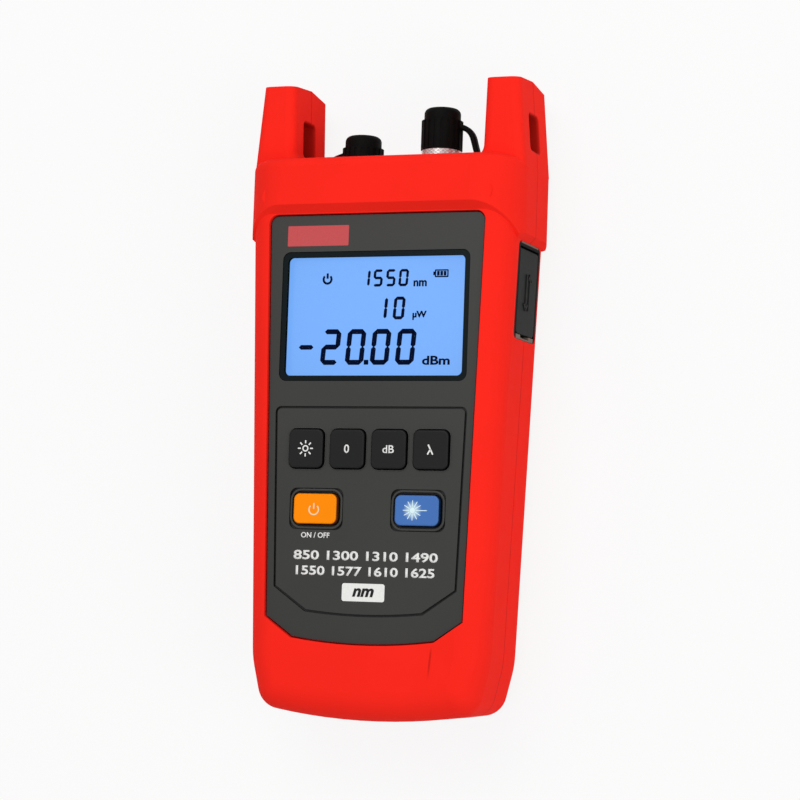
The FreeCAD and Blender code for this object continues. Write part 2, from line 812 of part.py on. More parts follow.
def make_keys():
    for label, x in SMALL_KEYS.items():
        make_key(label, x, "key_level", "key_width", "key_height")
    for label, x in WIDE_KEYS.items():
        make_key(label, x, "wide_key_level", "wide_key_width", "wide_key_height")
    mat = new_body("mat_body")
    half = "(key_pitch * 1.5 + key_width / 2 + mat_border)"
    low = "wide_key_level - wide_key_height / 2 - mat_border"
    high = "key_level + key_height / 2 + mat_border"
    pad(mat, "XY", BOARD_FACE, MAT_FACE, between(f"-{half}", half, low, high))
    spots = [(x, "key_level") for x in SMALL_KEYS.values()]
    spots += [(x, "wide_key_level") for x in WIDE_KEYS.values()]
    pad(mat, "XY", MAT_FACE, f"{MAT_FACE} + mat_pad",
        *[("circle", x, level, "mat_pad_diameter") for x, level in spots])
    node(mat, "keypad_mat")


# Main board


def screw(name, x, y, tip, length, diameter, head, head_height, way):
    """A pan-head screw along Z: its tip's depth, its shank's length, and way 1 with the head in front."""
    seat = f"({tip} + {way} * ({length}))"
    shank_start = tip if way > 0 else seat
    head_start = seat if way > 0 else f"({seat} - {head_height})"
    shank = rod(f"{name}_shank", diameter, x, y, shank_start, length, "Z")
    cap = rod(f"{name}_head", head, x, y, head_start, head_height, "Z")
    return fuse(name, shank, cap)


def make_board():
    """The main board on four posts, with its screws and chips."""
    board = new_body("board_body")
    half = "board_width / 2"
    tab_low, tab_high = "door_level - board_tab_height / 2", "door_level + board_tab_height / 2"
    tab_end = f"({side_at('door_level')} - frame_depth - board_tab_gap)"
    pad(board, "XY", "board_depth", BOARD_FACE, [
        (f"-{half}", "board_low"), (half, "board_low"), (half, tab_low), (tab_end, tab_low),
        (tab_end, tab_high), (half, tab_high), (half, "board_high"), (f"-{half}", "board_high"),
    ])
    pocket(board, "XY", "board_depth", BOARD_FACE,
           *[("circle", x, y, "board_screw_diameter + 2 * pilot_gap") for _, x, y in POST_SPOTS])
    node(board, "main_board")
    node(group("board_screws_group", *[
        screw(f"board_screw_{name}", x, y, f"({BOARD_FACE} - board_screw_length)", "board_screw_length",
              "board_screw_diameter", "board_screw_head", "board_screw_head_height", 1)
        for name, x, y in POST_SPOTS]), "board_screws")
    chip_back = "board_depth - chip_thickness"
    chips = [
        prism(f"chip_{index}", "XY", chip_back, "board_depth", rectangle(f"chip_width * {across}", level,
                                                                         "chip_width", "chip_width"))
        for index, (across, level) in enumerate(((0, "view_level"), (-1.6, "view_level"), (0, POST_HIGH)))
    ]
    node(group("chips_group", *chips), "board_chips")


# Ports, modules, caps and tethers


def make_port(name, x):
    """One metal port with its sleeve, its module, its rubber cap and the tether that holds the cap."""
    tip = f"(deck_level + {name}_barrel_height)"
    collar = f"(deck_level + {name}_collar_height)"
    flange_back = f"({DECK_UNDER} - port_flange_thickness)"
    tail_end = f"({flange_back} - port_tail_length)"
    sleeve_end = "(deck_level - sleeve_depth)"
    place = dict(x=x, z="parting_depth")

    port = turned(f"{name}_port_body", steps(
        (None, tail_end), ("port_tail", flange_back),
        ("port_flange", DECK_UNDER), ("port_neck", "deck_level"),
        ("port_collar", collar), ("port_barrel", tip)))
    pocket(port, "XZ", sleeve_end, tip, ("circle", "0", "0", "sleeve_outer + 2 * pilot_gap"))
    pocket(port, "XZ", tail_end, sleeve_end, ("circle", "0", "0", "light_bore"))
    pocket(port, "XZ", f"{tip} - port_key_height", tip,
           rectangle("0", "port_barrel / 2", "port_key_width", "port_key_depth * 2"))
    node(port, f"{name}_port", **place)

    sleeve = prism(f"{name}_sleeve_body", "XZ", sleeve_end, f"{tip} - sleeve_sink",
                   ("circle", "0", "0", "sleeve_outer"), ("circle", "0", "0", "ferrule_bore"))
    node(sleeve, f"{name}_sleeve", **place)

    module = prism(f"{name}_module_body", "XZ", f"{flange_back} - {name}_body_length", flange_back,
                   ("circle", "0", "0", f"{name}_body"))
    pocket(module, "XZ", tail_end, flange_back, ("circle", "0", "0", "port_tail + 2 * pilot_gap"))
    node(module, f"{name}_module", **place)

    rim = f"({collar} + cap_gap)"
    roof = f"({tip} + cap_gap)"
    top = f"({roof} + cap_roof)"
    neck = f"({top} - cap_neck_height)"
    cap = turned(f"{name}_cap_body", [
        ("port_barrel / 2 + cap_gap", rim), ("cap_diameter / 2", rim), ("cap_diameter / 2", neck),
        ("cap_neck / 2", neck), ("cap_neck / 2", top), ("0", top), ("0", roof),
        ("port_barrel / 2 + cap_gap", roof)])
    fillet(cap, "cap_round", lambda edge: flat_at(edge, 1, top))
    groove = pocket(cap, "XZ", f"{rim} + cap_gap", f"{neck} - cap_gap",
                    rectangle("cap_diameter / 2", "0", "cap_groove_depth * 2", "cap_groove"))
    pattern = cap.newObject("PartDesign::PolarPattern", f"{name}_cap_grooves")
    pattern.Originals = [groove]
    pattern.Axis = ([axis for axis in cap.Origin.OriginFeatures if axis.Role == "Y_Axis"][0], [""])
    pattern.Angle = 360
    pattern.Occurrences = CAP_GROOVE_COUNT
    cap.Tip = pattern
    doc.recompute()
    node(cap, f"{name}_cap", **place)
    make_tether(name, place, f"({top} - tether_drop)")


def tether_reach(name, level):
    """How far from the port's axis the tether meets the deck, and how far it comes down on its slope."""
    fall = f"({level} - {name}_tether_bend * (1 - sin(tether_lean)) - deck_level)"
    out = f"(cap_diameter / 2 + tether_gap + tether_lead + {name}_tether_bend * cos(tether_lean)"
    return f"{out} + {fall} * tan(tether_lean))"


def make_tether(name, place, level):
    """A moulded strap from the cap's side over a bend and down to a stud pushed into the deck."""
    way = "-" if name == "detector" else ""
    half = "tether_thickness / 2"
    root = "(cap_diameter / 2 + tether_gap)"
    hub = f"({root} + tether_lead)"
    bend = f"{name}_tether_bend"
    axis = f"({level} - {bend})"
    foot = tether_reach(name, level)

    def along_bend(radius):
        return f"{hub} + {radius} * cos(tether_lean)", f"{axis} + {radius} * sin(tether_lean)"

    def on_deck(shift):
        return f"{foot} + {shift} / cos(tether_lean)", "deck_level"

    outer, inner = f"({bend} + {half})", f"({bend} - {half})"
    corners = [
        (root, f"{level} + {half}"), (hub, f"{level} + {half}", outer, "cw"),
        along_bend(outer), on_deck(half), on_deck(f"-{half}"), (*along_bend(inner), inner),
        (hub, f"{level} - {half}"), (root, f"{level} - {half}"),
    ]
    if way:
        flipped = [(f"-({corner[0]})", *corner[1:]) for corner in corners]
        corners = [turn_arc(flipped, index) for index in range(len(flipped))]
    strap = prism(f"{name}_strap", "XY", "-tether_width / 2", "tether_width / 2", corners)
    stud = rod(f"{name}_stud", "stud_diameter", f"{way}{foot}", f"{DECK_UNDER}", "0", "deck_wall", "Y")
    node(fuse(f"{name}_tether_solid", strap, stud), f"{name}_tether", **place)


def turn_arc(corners, index):
    """A corner of a mirrored outline, with its arc bent the other way."""
    corner = corners[index]
    if len(corner) == 4:
        return corner[:3]
    if len(corner) == 3:
        return (*corner, "cw")
    return corner


# Data socket, its frame and its door


DOOR_TURN = "-atan((waist_width - foot_width) / 2 / (shoulder_level - foot_level))"
DOOR_PLACE = dict(x=side_at("door_level"), y="door_level", z="parting_depth", turn=DOOR_TURN)
FRAME_HEIGHT = "(door_height + 2 * (door_gap + frame_lip))"
FRAME_WIDTH = "(door_width + 2 * (door_gap + frame_lip))"
HINGE_LEVEL = "(door_height / 2 - door_thickness / 2)"


def make_door():
    """The rubber door, drawn on the case's side: X out of the side, Y up it, Z across it."""
    frame = prism("frame_body", "YZ", "-frame_depth", "0",
                  rectangle("0", "0", FRAME_HEIGHT, FRAME_WIDTH, "frame_round"))
    pocket(frame, "YZ", "frame_floor - frame_depth", "0",
           rectangle("0", "0", "door_height + 2 * door_gap", "door_width + 2 * door_gap"))
    socket_depth = "board_depth - socket_height / 2 - parting_depth"
    pocket(frame, "YZ", "-frame_depth", "frame_floor - frame_depth",
           rectangle("0", socket_depth, "socket_width + 2 * socket_gap", "socket_height + 2 * socket_gap"))
    notch_low = f"-{FRAME_HEIGHT} / 2 + frame_lip / 3"
    pocket(frame, "YZ", "-door_thickness", "0",
           between(notch_low, "-door_height / 2", "-notch_width / 2", "notch_width / 2"))
    pin_reach = "door_width / 2 + door_pin_length + door_gap"
    pocket(frame, "XY", f"-({pin_reach})", pin_reach,
           ("circle", "-door_thickness / 2", HINGE_LEVEL, "door_pin_diameter + 2 * fit_gap"))
    node(frame, "usb_frame", **DOOR_PLACE)

    door = prism("door_body", "YZ", "-door_thickness", "0",
                 between("-door_height / 2", "door_height / 2", "-door_width / 2", "door_width / 2"))
    low_end = number("-door_height / 2")
    fillet(door, "door_corner_round",
           lambda edge: along(edge, 0) and abs(edge.CenterOfMass.y - low_end) < FLAT)
    fillet(door, "(door_thickness - door_bead_land) / 2",
           lambda edge: along(edge, 2) and edge.CenterOfMass.y > -low_end - FLAT)
    pad(door, "YZ", "-door_thickness - door_plug", "-door_thickness",
        rectangle("0", "0", "door_height - 2 * door_plug_inset", "door_width - 2 * door_plug_inset",
                  "door_corner_round"))
    pin_end = "door_width / 2 + door_pin_length"
    pad(door, "XY", f"-({pin_end})", pin_end,
        ("circle", "-door_thickness / 2", HINGE_LEVEL, "door_pin_diameter"))
    node(door, "usb_door", **DOOR_PLACE)

    mouth = f"({side_at('door_level')} - frame_depth + frame_floor / 2)"
    middle = "board_depth - socket_height / 2"
    socket = prism("socket_body", "YZ", f"{mouth} - socket_length", mouth,
                   rectangle("door_level", middle, "socket_width", "socket_height"))
    pocket(socket, "YZ", f"{mouth} - socket_length + socket_wall", mouth,
           rectangle("door_level", middle, "socket_width - 2 * socket_wall",
                     "socket_height - 2 * socket_wall"))
    pad(socket, "YZ", f"{mouth} - socket_length", f"{mouth} - socket_wall",
        rectangle("door_level", middle, "socket_width / 2", "socket_tongue"))
    node(socket, "usb_socket")


# Cells, battery door and case screws


def make_cells():
    """Three round cells, every other one turned round, with a spring and a bumped plate for each."""
    cells, springs, plates = [], [], []
    for index in range(CELL_COUNT):
        x = f"cell_pitch * {index - (CELL_COUNT - 1) / 2}"
        up = index % 2 == 0
        nub_end = "cell_nub_height + contact_bump + contact_thickness"
        low = f"(bay_low + {'spring_length + contact_thickness' if up else nub_end})"
        can = rod(f"can_{index}", "cell_diameter", x, low, CELL_DEPTH, "cell_length", "Y")
        nub_low = f"{low} + cell_length" if up else f"{low} - cell_nub_height"
        nub = rod(f"nub_{index}", "cell_nub_diameter", x, nub_low, CELL_DEPTH, "cell_nub_height", "Y")
        cells.append(fuse(f"cell_{index}", can, nub))

        half = "contact_width / 2"
        outline = between(f"{x} - {half}", f"{x} + {half}",
                          f"{CELL_DEPTH} - {half}", f"{CELL_DEPTH} + {half}")
        top_plate = f"({BAY_HIGH} - contact_thickness)"
        for end, start in (("low", "bay_low"), ("high", top_plate)):
            plate = prism(f"plate_{index}_{end}", "XZ", start, f"{start} + contact_thickness", outline)
            bumped = up == (end == "high")
            if bumped:
                bump_low = f"{top_plate} - contact_bump" if up else f"{start} + contact_thickness"
                pad(plate, "XZ", bump_low, f"{bump_low} + contact_bump",
                    ("circle", x, CELL_DEPTH, "contact_bump_diameter"))
            plates.append(plate)
        spring_low = "(bay_low + contact_thickness)" if up else f"({top_plate} - spring_length)"
        springs.append(make_spring(f"spring_{index}", x, spring_low))
    node(group("cells_group", *cells), "battery_cells")
    node(group("springs_group", *springs), "battery_springs")
    node(group("plates_group", *plates), "battery_contacts")


def make_spring(name, x, low):
    """A coil of wire along Y, as long as the space between a cell's flat end and its plate."""
    wire = number("spring_wire / 2")
    radius = number("spring_diameter / 2") - wire
    rise = number("spring_length - spring_wire")
    count = round(number("spring_turns") * COIL_RUNS)
    spots = [turned_spot(radius, index / COIL_RUNS, rise * index / count) for index in range(count + 1)]
    run = spots[1] - spots[0]
    across = FreeCAD.Vector(0, 0, 1).cross(run).normalize() * wire
    up = run.cross(across).normalize() * wire
    around = [turned_spot(1, side / WIRE_SIDES, 0) for side in range(WIRE_SIDES + 1)]
    section = Part.makePolygon([spots[0] + across * spot.x + up * spot.y for spot in around])
    spring = doc.addObject("Part::Feature", name)
    spring.Shape = Part.makePolygon(spots).makePipeShell([section], True, False, MITRED)
    spring.Placement.Rotation = FreeCAD.Rotation(FreeCAD.Vector(1, 0, 0), -90)
    place_at(spring, x, f"{low} + spring_wire / 2", CELL_DEPTH)
    return spring


def turned_spot(radius, turns, rise):
    """A point some turns round the Z axis."""
    angle = 2 * pi * turns
    return FreeCAD.Vector(radius * cos(angle), radius * sin(angle), rise)


DOOR_LOW = "(bay_low - battery_door_border)"
DOOR_HIGH = f"({BAY_HIGH} + battery_door_head)"
DOOR_HALF = f"({BAY_WIDTH} / 2 + battery_door_border)"
DOOR_SCREWS = [(f"door_screw_{side}", f"{sign}door_screw_spacing / 2", f"({BAY_HIGH} + door_screw_rise)")
               for side, sign in SIDES]


def door_rectangle(grow):
    return rectangle("0", f"(({DOOR_LOW} + {DOOR_HIGH}) / 2)", f"2 * ({DOOR_HALF} + {grow})",
                     f"{DOOR_HIGH} - {DOOR_LOW} + 2 * {grow}", f"(battery_door_round + {grow})")


def make_battery_door():
    """The battery door, its seal and screws."""
    door = prism("battery_door_body", "XY", "0", "battery_door_thickness", door_rectangle("0"))
    for index in range(GRIP_RIB_COUNT):
        level = f"{BAY_HIGH} - battery_door_head - grip_rib_pitch * {index}"
        pocket(door, "XY", "0", "grip_rib_height", rectangle(
            "0", level, "grip_rib_length", "grip_rib_width", "grip_rib_round"))
    for _, x, y in DOOR_SCREWS:
        pocket(door, "XY", "0", "battery_door_thickness",
               ("circle", x, y, "door_screw_diameter + 2 * fit_gap"))
        pocket(door, "XY", "0", "door_screw_head_height", ("circle", x, y, "door_screw_head + 2 * fit_gap"))
    node(door, "battery_door")

    ring = ("0", f"(({BAY_HIGH} + bay_low) / 2)")
    seal = prism("seal_body", "XY", "battery_door_thickness", SILL_DEPTH,
                 rectangle(*ring, f"{BAY_WIDTH} + 2 * seal_width", f"{BAY_LENGTH} + 2 * seal_width"))
    pocket(seal, "XY", "battery_door_thickness", SILL_DEPTH, rectangle(*ring, BAY_WIDTH, BAY_LENGTH))
    node(seal, "battery_door_seal")
    node(group("door_screws_group", *[
        screw(name, x, y, "(door_screw_head_height + door_screw_length)", "door_screw_length",
              "door_screw_diameter", "door_screw_head", "door_screw_head_height", -1)
        for name, x, y in DOOR_SCREWS]), "battery_door_screws")


def make_case_screws():
    node(group("case_screws_group", *[
        screw(f"case_screw_{name}", x, y, "(case_screw_well + case_screw_length)", "case_screw_length",
              "case_screw_diameter", "case_screw_head", "case_screw_head_height", -1)
        for name, x, y in SCREW_SPOTS]), "case_screws")


# Shells


def make_shells():
    """Both shells: the case form hollowed, split at the parting line and fitted out."""
    hollow = cut("case_hollow", make_case_form(), make_case_core())
    slab = prism("front_half", "XY", "parting_depth", "brow_depth + wall",
                 between("-head_width", "head_width", "-wall", "case_length + wall"))
    front = common("front_blank", hollow, slab)
    rear = cut("rear_blank", hollow, slab)

    bosses = []
    for name, x, y in SCREW_SPOTS:
        roof = "case_depth" if name.startswith("low") else "brow_depth"
        bosses.append(rod(f"front_boss_{name}", "boss_diameter", x, y, "parting_depth",
                          f"{roof} - wall / 2 - parting_depth", "Z"))
    pilots = [rod(f"front_pilot_{name}", "case_screw_diameter + 2 * pilot_gap", x, y, "parting_depth",
                  "case_screw_well + case_screw_length + wall / 2 - parting_depth", "Z")
              for name, x, y in SCREW_SPOTS]
    seat = prism("fascia_seat", "XY", FASCIA_BACK, "brow_depth + wall", fascia_outline("-rim_gap"))
    fillet(seat, "fascia_corner_round + rim_gap", top_corner)
    window = prism("face_window", "XY", f"{LEDGE_BACK} - wall", FASCIA_BACK, fascia_outline("ledge_width"))
    view = prism("view_window", "XY", f"{LEDGE_BACK} - wall", FASCIA_BACK,
                 view_rectangle("(glass_border + fit_gap)"))
    node(cut("front_shell_solid", fuse("front_bossed", front, *bosses), seat, window, view, *pilots,
             *shared_cuts("front")), "front_shell")

    bosses = [rod(f"rear_boss_{name}", "boss_diameter + 2 * wall", x, y, "wall / 2",
                  "parting_depth - wall / 2", "Z")
              for name, x, y in SCREW_SPOTS]
    bosses = [common("rear_bosses", fuse("rear_boss_rods", *bosses), doc.getObject("case_form"))]
    bosses += [rod(f"post_{name}", "post_diameter", x, y, "wall / 2", "board_depth - wall / 2", "Z")
               for name, x, y in POST_SPOTS]
    bosses += [rod(f"door_boss_{name}", "boss_diameter", x, y, "wall / 2",
                   "door_screw_head_height + door_screw_length", "Z") for name, x, y in DOOR_SCREWS]
    middle = f"(({BAY_HIGH} + bay_low) / 2)"
    bay_block = prism("bay_block", "XY", "wall / 2", f"{BAY_DEPTH} + bay_wall / 2",
                      rectangle("0", middle, f"{BAY_WIDTH} + 2 * bay_wall", f"{BAY_LENGTH} + 2 * bay_wall"))
    sill = prism("door_sill", "XY", "wall / 2", f"{SILL_DEPTH} + battery_door_sill",
                 door_rectangle("bay_wall"))
    holes = [
        prism("bay_hollow", "XY", "-wall", BAY_DEPTH, rectangle("0", middle, BAY_WIDTH, BAY_LENGTH)),
        prism("door_seat", "XY", "-wall", SILL_DEPTH,
              rectangle("0", middle, f"{BAY_WIDTH} + 2 * (seal_width + fit_gap)",
                        f"{BAY_LENGTH} + 2 * (seal_width + fit_gap)")),
        prism("door_recess", "XY", "-wall", "battery_door_thickness", door_rectangle("battery_door_gap")),
    ]
    for name, x, y in SCREW_SPOTS:
        holes.append(rod(f"rear_hole_{name}", "case_screw_diameter + 2 * fit_gap", x, y, "-wall",
                         "parting_depth + 2 * wall", "Z"))
        holes.append(rod(f"rear_well_{name}", "case_screw_head + 2 * fit_gap", x, y, "-wall",
                         "case_screw_well + wall", "Z"))
    for name, x, y in POST_SPOTS:
        holes.append(rod(f"post_pilot_{name}", "board_screw_diameter + 2 * pilot_gap", x, y,
                         f"{BOARD_FACE} - board_screw_length - wall / 2", "board_screw_length + wall", "Z"))
    for name, x, y in DOOR_SCREWS:
        holes.append(rod(f"rear_pilot_{name}", "door_screw_diameter + 2 * pilot_gap", x, y, "0",
                         "door_screw_head_height + door_screw_length + wall / 2", "Z"))
    node(cut("rear_shell_solid", fuse("rear_bossed", rear, bay_block, sill, *bosses), *holes,
             *shared_cuts("rear")), "rear_shell")


def shared_cuts(half):
    """What is cut out of both shells at the parting line: port necks, tether studs, the socket's frame."""
    tools = []
    for name, x in PORTS.items():
        tools.append(rod(f"{half}_neck_{name}", "port_neck + 2 * fit_gap", x, f"{DECK_UNDER} - wall",
                         "parting_depth", "deck_wall + 2 * wall", "Y"))
        level = f"(deck_level + {name}_barrel_height + cap_gap + cap_roof - tether_drop)"
        way = "-" if name == "detector" else "+"
        stud = f"{x} {way} {tether_reach(name, level)}"
        tools.append(rod(f"{half}_stud_{name}", "stud_diameter + 2 * fit_gap", stud, f"{DECK_UNDER} - wall",
                         "parting_depth", "deck_wall + 2 * wall", "Y"))
    hole = prism(f"{half}_frame_hole", "YZ", "-frame_depth - fit_gap", "frame_depth",
                 rectangle("0", "0", f"{FRAME_HEIGHT} + 2 * fit_gap", f"{FRAME_WIDTH} + 2 * fit_gap",
                           "(frame_round + fit_gap)"))
    place_at(hole, **DOOR_PLACE)
    return tools + [hole]


def write_parts():
    """Checks every object and writes each sub-part to its own file."""
    doc.recompute()
    broken = [item.Name for item in doc.Objects if "Invalid" in item.State or "Error" in item.State]
    broken += [item.Label for item in nodes if item.Shape.isNull() or not item.Shape.isValid()]
    if broken:
        raise RuntimeError(f"not sound: {broken}")
    os.makedirs("parts", exist_ok=True)
    for item in nodes:
        item.Shape.exportStep(f"parts/{item.Label}.step")


make_shells()
make_face()
make_keys()
make_board()
for port_name, port_x in PORTS.items():
    make_port(port_name, port_x)
make_door()
make_cells()
make_battery_door()
make_case_screws()
write_parts()
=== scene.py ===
from contextlib import contextmanager
from math import cos, pi, radians, sin, tan

import bmesh
import bpy
from mathutils import Matrix, Vector


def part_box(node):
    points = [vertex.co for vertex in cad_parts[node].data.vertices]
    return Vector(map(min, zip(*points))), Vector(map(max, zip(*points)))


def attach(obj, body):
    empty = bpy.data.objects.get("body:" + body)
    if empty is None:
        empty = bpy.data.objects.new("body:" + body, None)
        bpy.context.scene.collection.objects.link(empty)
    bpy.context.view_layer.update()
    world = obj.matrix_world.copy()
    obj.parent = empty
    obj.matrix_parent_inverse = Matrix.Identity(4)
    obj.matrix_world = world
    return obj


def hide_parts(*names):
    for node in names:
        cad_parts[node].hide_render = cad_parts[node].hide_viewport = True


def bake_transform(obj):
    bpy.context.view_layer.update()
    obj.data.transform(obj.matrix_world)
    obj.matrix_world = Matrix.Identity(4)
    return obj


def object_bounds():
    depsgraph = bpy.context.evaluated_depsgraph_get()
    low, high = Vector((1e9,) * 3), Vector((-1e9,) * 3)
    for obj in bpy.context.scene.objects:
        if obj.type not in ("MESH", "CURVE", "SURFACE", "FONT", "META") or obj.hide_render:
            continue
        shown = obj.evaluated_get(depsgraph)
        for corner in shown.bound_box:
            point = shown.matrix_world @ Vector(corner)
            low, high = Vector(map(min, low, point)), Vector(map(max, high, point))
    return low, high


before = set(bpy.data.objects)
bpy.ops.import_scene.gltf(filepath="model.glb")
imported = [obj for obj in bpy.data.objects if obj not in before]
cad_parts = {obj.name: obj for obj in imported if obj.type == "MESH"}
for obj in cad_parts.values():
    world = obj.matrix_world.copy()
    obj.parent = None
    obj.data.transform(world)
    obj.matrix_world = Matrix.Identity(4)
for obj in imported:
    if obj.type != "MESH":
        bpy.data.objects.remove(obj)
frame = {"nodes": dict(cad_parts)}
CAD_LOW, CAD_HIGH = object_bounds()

bl_info = {
    "name": "Fibre Optic Tester",
    "version": (1, 0, 0),
    "blender": (4, 5, 0),
    "location": "View3D > Sidebar > Tester",
    "description": "Finishes, legends and a studio for a handheld fibre optic tester",
    "category": "Object",
}

MM = 0.001
SIDES_OF_ROUND = 48
SIDES_OF_SMALL_ROUND = 32
LEVEL_SLACK = 0.1 * MM

SMALL_KEYS = ("key_lamp", "key_zero", "key_decibel", "key_wavelength")
WIDE_KEYS = ("key_power", "key_laser")
KEY_CORNER = 2.0 * MM
KEY_CAP_DEPTH = 2.0 * MM
HOLE_GAP = 0.3 * MM

# The crease as seen from the front, and the ears' slots as seen from the side
CREASE_FROM = Vector((22.6, -74.6)) * MM
CREASE_TO = Vector((21.6, -86.2)) * MM
SLOT_MIDDLE = Vector((82.1, 20.6)) * MM
SLOT_HEIGHT = 12.0 * MM
SLOT_DEPTH = 9.7 * MM
SLOT_CORNER = 1.7 * MM

LENS_BORDER = 1.55 * MM
LENS_CORNER = 1.6 * MM
KNURL_RIDGES = 26
KNURL_PITCH = 1.1 * MM
RING_PITCH = 0.35 * MM

# What is left of a colour in the painted shade of grooves and in the dark parting line, and the
# height of a mould's fine grain
SHADOW = 0.12
SPARK_RISE = 0.012 * MM

# Segments of a figure: a top, b and c right, d foot, e and f left, g middle
SEGMENTS = {"0": "abcdef", "1": "bc", "2": "abged", "5": "afgcd"}

WHITE = (1.0, 1.0, 1.0)
FLOOR_SIZE = 6.0
FLOOR_GAP = 0.05 * MM
FLOOR_LIFT = 0.87
KEY_LIGHT_AT = Vector((-0.05, 0.60, 1.0))
KEY_LIGHT_SIZE = 0.7
FILL_LIGHT_AT = Vector((0.95, -0.25, 0.75))
FILL_LIGHT_SIZE = 0.6


# Properties

class TesterColours(bpy.types.PropertyGroup):
    """Colours of the finishes."""

    def colour(name, description, default):
        return bpy.props.FloatVectorProperty(
            name=name, description=description, default=default,
            subtype="COLOR", size=3, min=0.0, max=1.0)

    case_red: colour("Case", "Moulded shells and battery door", (0.94, 0.021, 0.012))
    fascia: colour("Fascia", "Dark plate round the display", (0.021, 0.021, 0.019))
    panel: colour("Panel", "Keypad panel", (0.022, 0.022, 0.020))
    key_black: colour("Dark keys", "Four small keys", (0.016, 0.016, 0.0162))
    key_orange: colour("Power key", "Wide key on the left", (1.0, 0.265, 0.001))
    key_blue: colour("Laser key", "Wide key on the right", (0.058, 0.165, 0.47))
    key_rim: colour("Key rim", "Rims and bezels round the keys", (0.045, 0.045, 0.043))
    legend: colour("Legend", "Printed signs and numbers", (0.82, 0.82, 0.80))
    burst: colour("Burst", "Sign of the laser key", (0.74, 0.92, 0.95))
    cream: colour("Cream", "Sign of the power key", (0.86, 0.66, 0.42))
    display: colour("Display", "Lit display", (0.181, 0.429, 0.973))
    ink: colour("Figures", "Dark figures of the display", (0.0008, 0.004, 0.024))
    border: colour("Lens border", "Black print round the display", (0.002, 0.006, 0.007))
    plate: colour("Plate", "Bare plate over the display", (0.55, 0.08, 0.085))
    rubber: colour("Rubber", "Caps and their tethers", (0.003, 0.003, 0.0028))
    door: colour("Door", "Rubber door of the data socket", (0.016, 0.0175, 0.0165))
    # Grey plastic whose red cast is painted reflection of the red case; the keypad mat takes it too
    frame: colour("Door frame", "Frame round the door", (0.20, 0.145, 0.12))
    nickel: colour("Nickel", "Turned ports", (0.93, 0.91, 0.90))
    steel: colour("Steel", "Screws, contacts and socket", (0.58, 0.58, 0.57))
    board: colour("Board", "Circuit board", (0.010, 0.105, 0.040))
    floor: colour("Floor", "Studio floor", (0.72, 0.72, 0.72))


class TesterSizes(bpy.types.PropertyGroup):
    """Sizes of what is added to the solids."""

    def length(name, description, default):
        return bpy.props.FloatProperty(
            name=name, description=description, default=default * MM,
            min=0.0, unit="LENGTH", precision=5)

    def slope(name, description, default):
        return bpy.props.FloatProperty(
            name=name, description=description, default=radians(default), subtype="ANGLE")

    seam: length("Seam", "Width of the parting line between the shells", 0.35)
    print_rise: length("Print", "Thickness of printed legends", 0.06)
    figure_rise: length("Figures", "Thickness of the display's figures", 0.05)
    rim_band: length("Key rim", "Width of the rim round a small key's hole", 0.3)
    rim_rise: length("Key rim rise", "Height of the rim round a small key's hole", 0.1)
    bezel_gap: length("Bezel gap", "Gap between a wide key and its bezel", 0.75)
    bezel_band: length("Bezel", "Width of the bezel round a wide key", 0.7)
    bezel_rise: length("Bezel rise", "Height of a bezel over the panel", 0.1)
    sign_rise: length("Door sign", "Height of the sign on the door", 0.35)
    tether_thickness: length("Tether", "Thickness of a cap's tether", 1.7)
    laser_bend: length("Laser tether bend", "Bend of the laser cap's tether", 5.5)
    detector_bend: length("Detector tether bend", "Bend of the detector cap's tether", 3.0)
    tether_dip: slope("Tether dip", "Slope at which a tether leaves its cap", 18)
    tether_lean: slope("Tether lean", "Lean of a tether's straight run", 16)


class TesterStudio(bpy.types.PropertyGroup):
    """Camera and light."""

    def vector(name, description, default, subtype="DIRECTION"):
        return bpy.props.FloatVectorProperty(
            name=name, description=description, default=default, subtype=subtype)

    def number(name, description, default, subtype="NONE"):
        return bpy.props.FloatProperty(
            name=name, description=description, default=default, min=0.0, subtype=subtype)

    eye: vector("Eye", "Place of the camera", (0.28407, -0.06445, 0.75535), "TRANSLATION")
    forward: vector("Forward", "Where the camera looks", (-0.35662, 0.08176, -0.93067))
    upward: vector("Upward", "Upward in the picture", (-0.00289, 0.99606, 0.08862))
    lens: number("Lens", "Focal length in millimetres", 114.81)
    key_power: number("Key light", "Power of the light over the head", 4.9, "POWER")
    fill_power: number("Fill light", "Power of the light at the right", 4.0, "POWER")
    sky: number("Sky", "Strength of the light all round", 0.6)


def colours():
    return bpy.context.scene.tester_colours


def sizes():
    return bpy.context.scene.tester_sizes


# Measures of the solids

def at(x, y):
    """A place on a flat drawing, from millimetres."""
    return Vector((x, y, 0)) * MM


def span(spots):
    """Lowest and highest corner of some points."""
    axes = list(zip(*spots))
    return Vector([min(axis) for axis in axes]), Vector([max(axis) for axis in axes])


def points_of(node):
    return [point.co for point in frame["nodes"][node].data.vertices]


def measure(node):
    """Middle and size of a solid's box."""
    low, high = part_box(node)
    return (low + high) / 2, high - low


def top_of(node):
    """Middle of a solid's top, seen from the front."""
    low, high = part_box(node)
    return Vector(((low.x + high.x) / 2, (low.y + high.y) / 2, high.z))


def burst_spot():
    """Middle of the laser key's sign."""
    return top_of("key_laser") + at(-1.3, 0)


def cap_of(key):
    """Width and height of a key's cap, over the lip that holds it in."""
    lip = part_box(key)[1].z - KEY_CAP_DEPTH
    low, high = span(spot for spot in points_of(key) if spot.z > lip)
    return high.x - low.x, high.y - low.y


def deck_under(kind):
    """Height of the deck on which a tether's full width stands."""
    tether = f"{kind}_tether"
    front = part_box(tether)[1].z - LEVEL_SLACK
    return min(spot.y for spot in points_of(tether) if spot.z > front)


def stud_under(kind):
    """Where across the deck a tether's stud is pressed in."""
    under = deck_under(kind) - LEVEL_SLACK
    low, high = span(spot for spot in points_of(f"{kind}_tether") if spot.y < under)
    return (low.x + high.x) / 2


